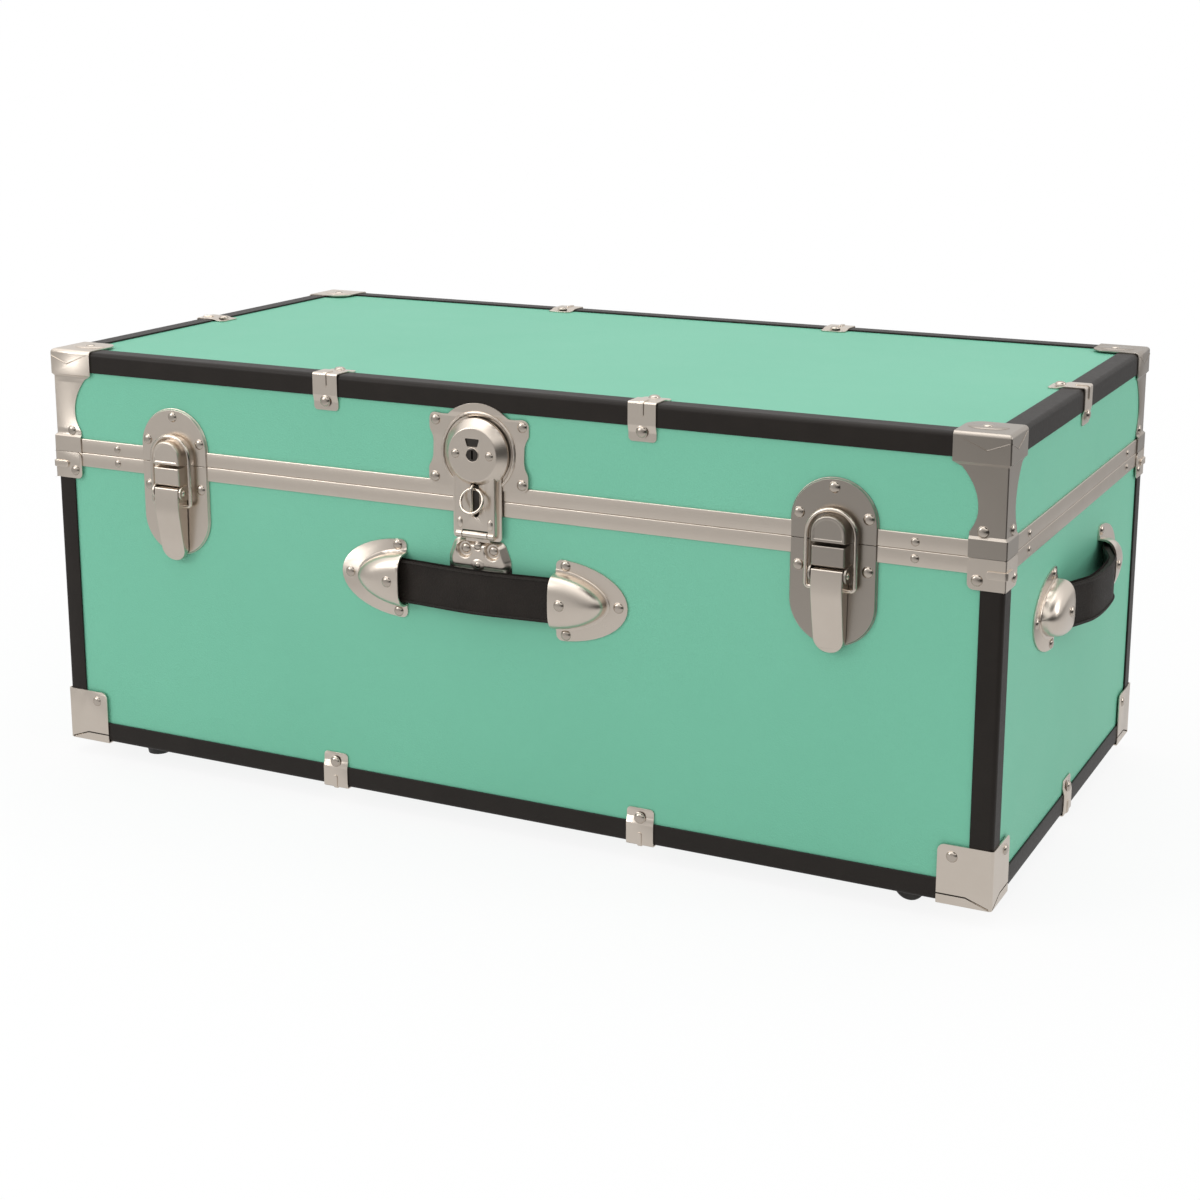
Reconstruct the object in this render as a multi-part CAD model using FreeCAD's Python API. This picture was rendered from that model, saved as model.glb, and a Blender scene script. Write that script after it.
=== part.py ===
import FreeCAD, Part
import math
import os

Vector = FreeCAD.Vector
X = Vector(1, 0, 0)
Y = Vector(0, 1, 0)
Z = Vector(0, 0, 1)

# Driving sizes of the trunk, in millimetres. X runs to the right as seen from the front,
# Y to the back and Z up. The floor is Z = 0.
length = 762.0  # over the corner caps
width = 394.0  # over the corner caps
body_height = 237.0  # from the underside of the caps to the line where the lid parts
lid_height = 80.5  # from that line to the top of the caps
ground_gap = 12.0  # the wheels and feet lift the caps off the floor

# Stock and the layers on a panel, counted outwards from its outer face.
panel_thickness = 9.0
binding_thickness = 1.5
plate_thickness = 1.0
strip_leg = 16.0
cover = binding_thickness + plate_thickness
part_gap = 0.4  # between the two halves of a plate that the lid line cuts
running_clearance = 0.05  # radial, pin in hole
side_clearance = 0.3  # between a knuckle and its neighbour
slide_clearance = 0.7  # between the lid and the tongue that guides it

# Rails along the lid line.
rail_height = 11.0
rail_thickness = 1.5
rail_flange_thickness = 1.2
rail_chamfer = 0.5
tongue_height = 8.0
tongue_thickness = 1.3

# Rivets: radius of the head, radius of its flat top, height.
rivet = (3.4, 2.0, 1.5)
small_rivet = (2.4, 1.4, 1.1)
face_rivet = (2.8, 1.8, 1.2)
rail_rivet_inset = 58.0  # from the corner of the panel along the long rails
side_rail_rivet_inset = 54.0

# Lid corner brackets. Widths are measured from the corner edge.
lid_cap_leaf = 38.0
lid_cap_height = 19.3
lid_leg_width = 25.0
lid_waist_width = 19.6
lid_waist_low = 26.0  # height of the lower bend above the lid line
lid_waist_high = 42.0
lid_leg_bend = 19.0
lid_leg_rivet = (16.5, 16.7)
lid_top_rivet = 22.0
leaf_corner_radius = 5.0
leaf_bend_radius = 9.0
crease = (5.0, 32.0, 13.5, 11.8, 0.6)  # start, end and tip in from the corner, drop of the tip, height
tongue = (2.6, 13.0, 0.9)  # half width, reach and height of the tongue pressed across a body corner

# Body top corners.
top_corner_width = 25.5
top_corner_height = 21.0
top_corner_rivet = (19.0, 14.7)

# Bottom corner caps.
bottom_leaf_width = 38.0
bottom_leaf_height = 42.0
bottom_leaf_rivet = (28.0, 34.0)
bottom_fold = (6.8, 18.0, 0.5)  # height of the folded flap, where it starts to fall, its thickness

# Clips over the long and short edges.
clip_width = 21.0
clip_leg = 27.5
clip_end_radius = 6.0
clip_rivet = 20.5
clip_rib = (8.0, 13.0, 0.9)
clip_share = 6.0  # the length over the distance of a clip from the middle, on the front and back

# Draw latches.
latch_inset = 113.0  # from the corner of the panel
latch_plate_width = 61.0
latch_plate_up = 42.5
latch_plate_down = 71.5
tray_rise = 2.6
tray_rim = 1.2
tray_slope = 1.6
latch_rivet_side = 24.0
latch_rivet_up = 17.0
latch_rivet_down = 18.3
latch_rivet_top = 36.0
catch_width = 25.0
catch_gap = 0.7
catch_top = 19.4
catch_rise = 13.5
catch_taper = 1.0
catch_edge = 1.6
block_width = 24.0
block_low = 15.5
block_high = 2.0
block_rise = 13.0
lever_pin_drop = 20.5  # below the lid line
lever_pin_rise = 9.5
lever_pin_radius = 1.5
lever_pin_head = (2.4, 0.8)
lever_knuckle = 4.5
lever_width = 22.5
lever_wall = 1.2
lever_length = 54.5  # from its pin to its tip
lever_face_rise = 14.0
lever_tip_rise = 6.6
lever_back_rise = 3.4
lever_bend_at = 20.0  # from its pin, where the face turns towards the tip
ear_gap = 0.4
ear_thickness = 1.5
ear_reach = 5.0
ear_depth = 6.5
bail_wire = 1.6
bail_half_width = 17.9
bail_top = 21.9  # above the lid line, centre of the wire
bail_foot = 31.0  # below the lid line, centre of the wire
bail_rise = 7.0
bail_top_bend = 6.0
bail_foot_bend = 2.6
bail_inner_end = 8.7

# Centre lock: catch plate on the lid.
lock_share = 0.41615  # the height of the lock's centre above the lid line, over the lid's height
lock_arch = 35.5
lock_ear = (40.0, 38.0)  # half width at the ears and at the waist
lock_plate_low = 8.0
lock_plate_ear_top = 60.5
lock_plate_ear_height = 12.0
lock_ear_radius = 5.0
lock_ear_rivet_low = (35.0, 13.5)
lock_ear_rivet_high = (34.8, 54.5)
lock_plate_rise = 1.0
lock_step = 8.0  # how far above the rail it steps down to the panel
lock_ring = (29.6, 1.4, 1.8)  # radius, half width and height of the pressed ring
keeper = (4.2, 2.8, 5.0)  # half width, half height and length of the catch behind the window

# Centre lock: flap.
flap_base_radius = 25.0
flap_face_radius = 19.2
flap_rim_rise = 4.6  # where the bevel of the dome starts
flap_back_rise = 3.0
flap_face_rise = 10.6
strap_face_rise = 7.7
flap_wall = 1.1
flap_base_width = 39.0
flap_face_width = 31.0
flap_foot = 24.8  # hinge pin below the lid line
flap_pin_rise = 6.3
flap_pin_radius = 1.3
flap_knuckle = 2.8
flap_knuckle_length = 20.0
flap_lug = 4.4
flap_notch = 4.6
window = (5.85, 4.05, 2.9, 8.7)  # half widths at the top and bottom, half height, offset
face_rivet_offset = 13.6
plug_radius = 4.6
plug_depth = 5.5
plug_proud = 0.4
key_slot = (0.7, 3.2, 3.5)  # half width, half length and depth
strap_slot = (3.75, 12.5)  # half width and half height
strap_slot_centre = 0.6
staple_wire = 1.1
staple_half = 10.8
staple_reach = 4.5
staple_bend = 2.4
staple_foot = (2.2, 15.5, 1.0)
ring_wire = 1.0
ring_radius = 8.75
ring_drop = 2.5  # pivot of the ring below the top leg of the staple
ring_pivot_rise = 1.25
ring_tilt = 21.0  # degrees, resting against the staple

# Centre lock: base plate on the body.
lock_base_top = 29.6  # below the lid line
lock_base_low = 52.5
lock_base_width = (19.5, 25.0)  # half width at the top and at the foot
lock_base_rise = 4.4
lock_base_slope = 3.4
lock_base_rim = 0.8
lock_web_rise = 5.2
lock_dimple = (6.6, 5.0)  # radius of the cup round a rivet at its top and at its floor
lock_base_rivet = (11.2, 37.0)
lock_base_foot_rivet = 47.6
lock_base_small_rivet = 33.5
lock_base_foot_radius = 5.0
pad_half_width = 25.5
pad_top = 40.0
pad_low = 61.0
pad_thickness = 2.0
pad_radius = 7.0

# Carrying handles.
handle_drop = 66.0  # centre of the handles below the lid line
side_handle_drop = 64.0
cap_inner = 61.0
cap_outer = 116.5
cap_half_height = 29.5
dome_outer = 101.0
dome_half_height = 20.0
dome_rise = 15.0
dome_sections = (  # height and size of each ring over those of the dome
    (0.0, 1.0), (0.28, 0.99), (0.52, 0.95), (0.72, 0.87), (0.87, 0.74), (0.96, 0.56), (1.0, 0.36),
)
cap_plate_thickness = 1.2
cap_rivets = ((68.5, 25.0), (109.5, 0.0))
dome_rivet = 70.0
handle_strap_width = 29.4
handle_strap_thickness = 5.0
handle_strap_end = 79.0
strap_end_rise = 4.4
front_strap_bow = 10.4
side_strap_knee = 62.5
side_strap_knee_rise = 5.8
side_strap_flat = 28.0
side_strap_bow = 32.0
side_strap_bend = 26.0

# Butt hinges at the back.
hinge_inset = 138.5  # from the corner of the panel
hinge_width = 64.0
hinge_leaf_height = 30.0
hinge_leaf_thickness = 1.5
hinge_knuckle = 3.2
hinge_pin_radius = 1.6
hinge_knuckles = 5
hinge_rivet = (20.0, 7.0)

# Wheels at the right end and glides at the left end.
wheel_radius = 11.0
wheel_width = 9.0
wheel_edge = 1.2
wheel_hub = (5.0, 0.6)
wheel_inset_x = 60.5  # from the corner of the panel
wheel_inset_y = 23.0
axle_radius = 2.0
axle_end = 0.6  # how far it stands out of each ear
housing_half = (15.0, 7.0)
housing_flange = (7.0, 1.0)  # along the trunk and across it
housing_wall = 1.2
housing_top = 1.2  # how far its roof stands inside the trunk
housing_ear = (6.0, 1.5, 4.5)  # half width, thickness and reach below the axle
wheel_side_gap = 0.8
glide = (11.0, 8.5)  # radius at the trunk and at the floor
glide_rim = 2.0
glide_inset_y = 29.0

# Worked out from the sizes above.
panel_x = length / 2 - cover
panel_y = width / 2 - cover
split = ground_gap + body_height
bottom_z = ground_gap + cover
top_z = split + lid_height - cover
rail_low = split - rail_height
rail_high = split + rail_height
inner_x = panel_x - panel_thickness
inner_y = panel_y - panel_thickness
hinge_pin_rise = rail_thickness + hinge_knuckle
clip_offset = length / clip_share
latch_offset = panel_x - latch_inset
hinge_offset = panel_x - hinge_inset
lock_centre = lid_height * lock_share


def frame(across, up, origin):
    """Placement of a face's own axes: across, up and outwards."""
    out = across.cross(up)
    turn = FreeCAD.Matrix(
        across.x, up.x, out.x, origin.x,
        across.y, up.y, out.y, origin.y,
        across.z, up.z, out.z, origin.z,
        0, 0, 0, 1,
    )
    return FreeCAD.Placement(turn)


front = frame(X, Z, Y * -panel_y)
back = frame(-X, Z, Y * panel_y)
right = frame(Y, Z, X * panel_x)
left = frame(-Y, Z, X * -panel_x)
top = frame(X, Y, Z * top_z)
bottom = frame(X, -Y, Z * bottom_z)
sides = ((front, panel_x), (back, panel_x), (right, panel_y), (left, panel_y))


def put(shape, place):
    """A copy of the shape, carried from a face's own axes to the trunk."""
    moved = shape.copy()
    moved.Placement = place.multiply(moved.Placement)
    return moved


def moved(shape, across=0.0, up=0.0, out=0.0):
    copy = shape.copy()
    copy.translate(Vector(across, up, out))
    return copy


def mirrored(shape, normal):
    return shape.mirror(Vector(0, 0, 0), normal)


def fused(shapes):
    whole = shapes[0].fuse(list(shapes[1:])) if len(shapes) > 1 else shapes[0]
    return whole.removeSplitter()


def box(low, high):
    """Box between two opposite corners."""
    size = [b - a for a, b in zip(low, high)]
    return Part.makeBox(size[0], size[1], size[2], Vector(*low))


def on_face(a, b, level):
    return Vector(a, b, level)


def edges_through(points, place, closed):
    """Straight edges through corner points (a, b, radius), with an arc at each rounded corner."""
    count = len(points)
    stops = []
    for i, (a, b, radius) in enumerate(points):
        corner = Vector(a, b, 0)
        if radius == 0 or (not closed and i in (0, count - 1)):
            stops.append((corner, None, corner))
            continue
        before = Vector(*points[i - 1][:2], 0) - corner
        after = Vector(*points[(i + 1) % count][:2], 0) - corner
        before.normalize()
        after.normalize()
        half = before.getAngle(after) / 2
        reach = radius / math.tan(half)
        middle = before + after
        middle.normalize()
        bulge = radius / math.sin(half) - radius
        stops.append((corner + before * reach, corner + middle * bulge, corner + after * reach))
    edges = []
    for i, (start, crown, end) in enumerate(stops):
        if crown is not None:
            arc = Part.Arc(place(start.x, start.y), place(crown.x, crown.y), place(end.x, end.y))
            edges.append(arc.toShape())
        follower = stops[(i + 1) % count][0]
        if (closed or i < count - 1) and end.distanceToPoint(follower) > 1e-6:
            edges.append(Part.makeLine(place(end.x, end.y), place(follower.x, follower.y)))
    return edges


def outline(points, level=0.0):
    """Closed wire on a face, at this height above it."""
    return Part.Wire(edges_through(points, lambda a, b: Vector(a, b, level), True))


def side_outline(points, across=0.0):
    """Closed wire of (up, out) points, seen from the side."""
    return Part.Wire(edges_through(points, lambda a, b: Vector(across, a, b), True))


def plan_outline(points, up=0.0):
    """Closed wire of (across, out) points, seen from above."""
    return Part.Wire(edges_through(points, lambda a, b: Vector(a, up, b), True))


def slab(points, low, high):
    """The outline raised from one height above the face to another."""
    return Part.Face(outline(points, low)).extrude(Vector(0, 0, high - low))


def side_slab(points, half):
    """The side outline widened by half to both sides."""
    return Part.Face(side_outline(points, -half)).extrude(Vector(2 * half, 0, 0))


def plan_slab(points, low, high):
    return Part.Face(plan_outline(points, low)).extrude(Vector(0, high - low, 0))


def shifted(points, distance, closed=True):
    """The same outline with each edge moved to the left of its direction; round corners stay concentric."""
    count = len(points)
    result = []
    for i, (a, b, radius) in enumerate(points):
        here = Vector(a, b, 0)
        normals = []
        if closed or i > 0:
            step = here - Vector(*points[i - 1][:2], 0)
            normals.append(Vector(-step.y, step.x, 0).normalize())
        if closed or i < count - 1:
            step = Vector(*points[(i + 1) % count][:2], 0) - here
            normals.append(Vector(-step.y, step.x, 0).normalize())
        total = normals[0] + normals[-1]
        move = total * (distance / (1 + normals[0].dot(normals[-1])))
        turn = normals[0].cross(normals[-1]).z
        round_now = radius - distance if turn > 0 else radius + distance
        result.append((a + move.x, b + move.y, max(round_now, radius / 4) if radius else 0.0))
    return result


def tapered(points, low, high, slope):
    """The outline raised from low to high, its sides leaning in by slope."""
    wires = [outline(points, low), outline(shifted(points, slope), high)]
    return Part.makeLoft(wires, True, True)


def pressed_plate(points, rise, rim, slope, thickness):
    """A sheet plate with a flat rim and a raised middle, hollow behind."""
    rim_plate = slab(points, 0, thickness)
    middle = tapered(shifted(points, rim), 0, rise, slope)
    hollow = tapered(shifted(points, rim + thickness), 0, rise - thickness, slope)
    return fused([rim_plate, middle]).cut(hollow)


def dart(base_left, base_right, tip, crown):
    """A pressed dart: a low three-sided pyramid on a face."""
    corners = (base_left, base_right, tip, crown)
    faces = []
    for skipped in range(len(corners)):
        loop = [c for i, c in enumerate(corners) if i != skipped]
        faces.append(Part.Face(Part.makePolygon(loop + loop[:1])))
    solid = Part.Solid(Part.Shell(faces))
    if solid.Volume < 0:
        solid.reverse()
    return solid


def rivet_head(across, up, out, size=rivet):
    radius, crown, rise = size
    return Part.makeCone(radius, crown, rise, Vector(across, up, out), Z)


def rod(radius, start, end):
    """Round bar between two points."""
    axis = end - start
    return Part.makeCylinder(radius, axis.Length, start, axis)


def strip(profile, half):
    """A strip along one side of the trunk, its (out, up) profile mitred at both corners."""
    level = [out for out, up in profile]
    corners = [Vector(0, up, out) for out, up in profile]
    low, high = min(level), max(level)
    reach = half + high
    bar = Part.Face(Part.makePolygon(corners + corners[:1])).extrude(Vector(2 * reach, 0, 0))
    bar.translate(Vector(-reach, 0, 0))
    heights = [up for out, up in profile]
    plan = [(half + low, low), (half + high, high), (-half - high, high), (-half - low, low)]
    mitre = plan_slab([(a, b, 0) for a, b in plan], min(heights), max(heights))
    return bar.common(mitre)


def body_panels():
    floor_top = bottom_z + panel_thickness
    wall_top = split - rail_flange_thickness
    floor = box((-panel_x, -panel_y, bottom_z), (panel_x, panel_y, floor_top))
    for side in (-1, 1):
        x, y = panel_x - wheel_inset_x, side * (panel_y - wheel_inset_y)
        half_x, half_y = housing_half
        floor = floor.cut(
            box((x - half_x, y - half_y, bottom_z), (x + half_x, y + half_y, floor_top))
        )
    return {
        "body_bottom_panel": floor,
        "body_front_panel": box((-panel_x, -panel_y, floor_top), (panel_x, -inner_y, wall_top)),
        "body_back_panel": box((-panel_x, inner_y, floor_top), (panel_x, panel_y, wall_top)),
        "body_right_panel": box((inner_x, -inner_y, floor_top), (panel_x, inner_y, wall_top)),
        "body_left_panel": box((-panel_x, -inner_y, floor_top), (-inner_x, inner_y, wall_top)),
    }


def lid_panels():
    low = split + rail_flange_thickness
    under = top_z - panel_thickness
    return {
        "lid_top_panel": box((-panel_x, -panel_y, under), (panel_x, panel_y, top_z)),
        "lid_front_panel": box((-panel_x, -panel_y, low), (panel_x, -inner_y, under)),
        "lid_back_panel": box((-panel_x, inner_y, low), (panel_x, panel_y, under)),
        "lid_right_panel": box((inner_x, -inner_y, low), (panel_x, inner_y, under)),
        "lid_left_panel": box((-panel_x, -inner_y, low), (-inner_x, inner_y, under)),
    }


def body_rail(half):
    """Outer leg, flange over the wall's edge and the tongue that stands up inside the lid."""
    inside = -panel_thickness - slide_clearance
    back_of_tongue = inside - tongue_thickness
    flange_low = split - rail_flange_thickness
    tongue_top = split + tongue_height
    profile = [
        (0, rail_low),
        (rail_thickness - rail_chamfer, rail_low),
        (rail_thickness, rail_low + rail_chamfer),
        (rail_thickness, split - rail_chamfer),
        (rail_thickness - rail_chamfer, split),
        (inside, split),
        (inside, tongue_top - rail_chamfer),
        (inside - rail_chamfer, tongue_top),
        (back_of_tongue, tongue_top),
        (back_of_tongue, flange_low),
        (0, flange_low),
    ]
    return strip(profile, half)


def lid_rail(half):
    """Outer leg and the flange under the lid's edge."""
    profile = [
        (0, rail_high),
        (0, split + rail_flange_thickness),
        (-panel_thickness, split + rail_flange_thickness),
        (-panel_thickness, split),
        (rail_thickness - rail_chamfer, split),
        (rail_thickness, split + rail_chamfer),
        (rail_thickness, rail_high - rail_chamfer),
        (rail_thickness - rail_chamfer, rail_high),
    ]
    return strip(profile, half)


def edge_strip(half, upper):
    """Binding over a top or bottom edge: one leg on the wall, one on the lid or floor."""
    face = top_z if upper else bottom_z
    sign = 1 if upper else -1
    outer = face + sign * binding_thickness
    leg_end = outer - sign * strip_leg
    inner = binding_thickness - strip_leg
    profile = [
        (0, leg_end),
        (binding_thickness, leg_end),
        (binding_thickness, outer),
        (inner, outer),
        (inner, face),
        (0, face),
    ]
    return strip(profile, half)


def corner_strip(low, high):
    """Binding up a vertical corner, at the front right."""
    outer_x, outer_y = panel_x + binding_thickness, panel_y + binding_thickness
    block = box((outer_x - strip_leg, -outer_y, low), (outer_x, strip_leg - outer_y, high))
    wood = box((0, -panel_y, low), (panel_x, 0, high))
    return block.cut(wood)


def four_corners(shape):
    """A front right piece and its mirror images at the other three corners."""
    rear = mirrored(shape, Y)
    return [shape, rear, mirrored(shape, X), mirrored(rear, X)]


def bindings():
    strip_end = binding_thickness - strip_leg
    body_low = bottom_z - strip_end
    body_edges = [put(edge_strip(half, False), face) for face, half in sides]
    lid_edges = [put(edge_strip(half, True), face) for face, half in sides]
    return {
        "body_bindings": body_edges + four_corners(corner_strip(body_low, rail_low)),
        "lid_bindings": lid_edges,
    }


def leaves(points, low, high):
    """The two walls of a bracket at the front right corner; points are (in from the corner, up)."""
    edge_x, edge_y = panel_x + cover, -panel_y - cover
    on_front = slab([(edge_x - a, b, r) for a, b, r in points], low, high)
    on_side = slab([(edge_y + a, b, r) for a, b, r in points], low, high)
    return [put(on_front, front), put(on_side, right)]


def within(reach, low, high):
    """The trunk's plan grown by a reach, between two heights."""
    return box((-panel_x - reach, -panel_y - reach, low), (panel_x + reach, panel_y + reach, high))


def flat_leaf(size, upper):
    """The leaf on the lid or under the floor, square with one rounded corner."""
    edge_x, edge_y = panel_x + cover, panel_y + cover
    radius = leaf_corner_radius
    points = [
        (edge_x, -edge_y, 0),
        (edge_x, size - edge_y, radius),
        (edge_x - size, size - edge_y, 2 * radius),
        (edge_x - size, -edge_y, radius),
    ]
    low = top_z + binding_thickness if upper else bottom_z - cover
    return slab(points, low, low + plate_thickness)


def cap_creases(high):
    """A shallow three-sided pressing on each wall of a lid corner's cap, down from its top edge."""
    start, end, tip, drop, rise = crease
    pieces = []
    for edge, sign, face in ((panel_x + cover, -1, front), (-panel_y - cover, 1, right)):
        near, far = sorted((edge + sign * start, edge + sign * end))
        point = edge + sign * tip
        shape = dart(
            Vector(near, high, cover), Vector(far, high, cover),
            Vector(point, high - drop, cover), Vector(point, high, cover + rise),
        )
        pieces.append(put(shape, face))
    return pieces


def lid_corner():
    """Bracket over a lid corner: a cap over the binding on three faces, a waisted leg that lies on
    the panels below it, and a foot that steps out over the rail."""
    high = top_z + cover
    step = high - lid_cap_height
    points = [
        (0, split, 0),
        (lid_leg_width, split, leaf_corner_radius / 2),
        (lid_leg_width, split + lid_leg_bend, leaf_bend_radius),
        (lid_waist_width, split + lid_waist_low, leaf_bend_radius),
        (lid_waist_width, split + lid_waist_high, 2 * leaf_bend_radius),
        (lid_cap_leaf, step, leaf_corner_radius / 2),
        (lid_cap_leaf, high, 0),
        (0, high, 0),
    ]
    whole = fused(leaves(points, 0, cover) + [flat_leaf(lid_cap_leaf, True)] + cap_creases(high))
    foot_top = rail_high + plate_thickness
    over_rail = within(rail_thickness, split, rail_high)
    over_binding = within(binding_thickness, step + plate_thickness, top_z + binding_thickness)
    over_leg = within(2 * cover, foot_top, step).cut(within(plate_thickness, foot_top, step))
    return whole.cut(over_rail).cut(over_binding).cut(over_leg)


def body_top_corner():
    """Bracket at the top of a body corner, over the end of the rail, with a tongue pressed in it."""
    low = split - top_corner_height
    points = [
        (0, low, 0),
        (top_corner_width, low, leaf_corner_radius),
        (top_corner_width, split, leaf_corner_radius),
        (0, split, 0),
    ]
    half, reach, rise = tongue
    middle = (low + split) / 2
    round_end = half - running_clearance
    raised = [
        (-rise, middle - half, 0),
        (reach, middle - half, round_end),
        (reach, middle + half, round_end),
        (-rise, middle + half, 0),
    ]
    return fused(leaves(points, binding_thickness, cover) + leaves(raised, cover, cover + rise))


def bottom_corner():
    """Cap over a bottom corner, on three faces, its floor leaf folded up over the walls."""
    low = bottom_z - cover
    high = low + bottom_leaf_height
    points = [
        (0, low, 0),
        (bottom_leaf_width, low, 0),
        (bottom_leaf_width, high, leaf_corner_radius),
        (0, high, 0),
    ]
    fold, fall, thickness = bottom_fold
    flap = [(plate_thickness, low, 0), (bottom_leaf_width, low, 0), (bottom_leaf_width, low + fold, 0)]
    flap.append((fall, low + fold, 0))
    pieces = leaves(points, binding_thickness, cover) + leaves(flap, cover, cover + thickness)
    return fused(pieces + [flat_leaf(bottom_leaf_width, False)])


def edge_clip(upper):
    """Clip over a top or bottom edge, in the axes of the wall, in the middle of its length."""
    sign = 1 if upper else -1
    outer = (top_z if upper else bottom_z) + sign * cover
    half = clip_width / 2
    end = outer - sign * clip_leg
    wall = [
        (-half, outer, 0),
        (-half, end, clip_end_radius),
        (half, end, clip_end_radius),
        (half, outer, 0),
    ]
    wall_leg = slab(wall, binding_thickness, cover)
    back_end = cover - clip_leg
    flat = [
        (-half, cover, 0),
        (-half, back_end, clip_end_radius),
        (half, back_end, clip_end_radius),
        (half, cover, 0),
    ]
    inner = outer - sign * plate_thickness
    flat_leg = plan_slab(flat, min(inner, outer), max(inner, outer))
    rib_width, rib_length, rib_rise = clip_rib
    rib_half = rib_width / 2
    tip = outer - sign * rib_length
    rib_wall = dart(
        Vector(-rib_half, outer, cover), Vector(rib_half, outer, cover),
        Vector(0, tip, cover), Vector(0, outer, cover + rib_rise),
    )
    rib_flat = dart(
        Vector(-rib_half, outer, cover), Vector(rib_half, outer, cover),
        Vector(0, outer, cover - rib_length), Vector(0, outer + sign * rib_rise, cover),
    )
    return fused([wall_leg, flat_leg, rib_wall, rib_flat])


def edge_clips(upper):
    clip = edge_clip(upper)
    places = [(front, -clip_offset), (front, clip_offset), (back, -clip_offset)]
    places += [(back, clip_offset), (right, 0.0), (left, 0.0)]
    return [put(moved(clip, across), face) for face, across in places]


def over_strip(plate, rim, low, high, thickness):
    """The plate with its flat rim stepped over a rail or binding between two heights."""
    if high <= low:
        return plate
    half = plate.BoundBox.XMax
    room = box((-half, low, 0), (half, high, thickness))
    band = box((-half, low, 0), (half, high, thickness + plate_thickness))
    return fused([plate.cut(room), moved(rim, out=thickness).common(band)])


def latch_plates():
    """Upper and lower latch plates: one pressed stadium, parted along the lid line."""
    half = latch_plate_width / 2
    low, high = split - latch_plate_down, split + latch_plate_up
    points = [(-half, low, half), (half, low, half), (half, high, half), (-half, high, half)]
    whole = pressed_plate(points, tray_rise, tray_rim, tray_slope, plate_thickness)
    rim = slab(points, 0, plate_thickness)
    whole = over_strip(whole, rim, rail_low, rail_high, rail_thickness)
    gap = part_gap / 2
    lower_half = box((-half, low, 0), (half, split - gap, tray_rise))
    upper_half = box((-half, split + gap, 0), (half, high, tray_rise))
    return whole.common(upper_half), whole.common(lower_half)


def raised_block(points, rise, taper, edge):
    """A pressed boss that stands on the latch plate, its sides leaning in and its rim rounded off."""
    shoulder = rise - edge
    base = tapered(points, tray_rise, shoulder, taper)
    inner = shifted(points, taper)
    cap = Part.makeLoft([outline(inner, shoulder), outline(shifted(inner, edge), rise)], True, True)
    return [base, cap]


def latch_catch():
    """Upper plate with the catch that the bail hooks over."""
    upper_plate, _ = latch_plates()
    half = catch_width / 2
    low, high = split + catch_gap, split + catch_top
    crown = half - catch_edge
    points = [(-half, low, catch_edge), (half, low, catch_edge), (half, high, crown), (-half, high, crown)]
    return fused([upper_plate] + raised_block(points, catch_rise, catch_taper, catch_edge))


def latch_base():
    """Lower plate with its stop block and the two ears that carry the lever's pin."""
    _, lower_plate = latch_plates()
    half = block_width / 2
    low, high = split - block_low, split - block_high
    edge = catch_edge
    points = [(-half, low, edge), (half, low, edge), (half, high, edge), (-half, high, edge)]
    pieces = [lower_plate] + raised_block(points, block_rise, catch_taper, edge)
    pin_up = split - lever_pin_drop
    ear = [
        (pin_up - ear_depth, tray_rise - plate_thickness, 0),
        (pin_up + ear_reach, tray_rise - plate_thickness, 0),
        (pin_up + ear_reach, lever_pin_rise + ear_reach - running_clearance, ear_reach / 2),
        (pin_up - ear_reach, lever_pin_rise + ear_reach - running_clearance, ear_reach / 2),
    ]
    inner = lever_width / 2 + ear_gap
    bore = lever_pin_radius
    for side in (-1, 1):
        plate = side_slab(ear, ear_thickness / 2)
        pieces.append(moved(plate, side * (inner + ear_thickness / 2)))
    base = fused(pieces)
    reach = inner + 2 * ear_thickness
    hole = rod(bore, Vector(-reach, pin_up, lever_pin_rise), Vector(reach, pin_up, lever_pin_rise))
    return base.cut(hole)


def latch_pin():
    """Pin through the ears and the lever, with a head at each end."""
    pin_up = split - lever_pin_drop
    head_radius, head_depth = lever_pin_head
    reach = lever_width / 2 + ear_gap + ear_thickness
    start, end = Vector(-reach, pin_up, lever_pin_rise), Vector(reach, pin_up, lever_pin_rise)
    heads = [
        rod(head_radius, end, end + X * head_depth),
        rod(head_radius, start - X * head_depth, start),
    ]
    return fused([rod(lever_pin_radius, start, end)] + heads)


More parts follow.
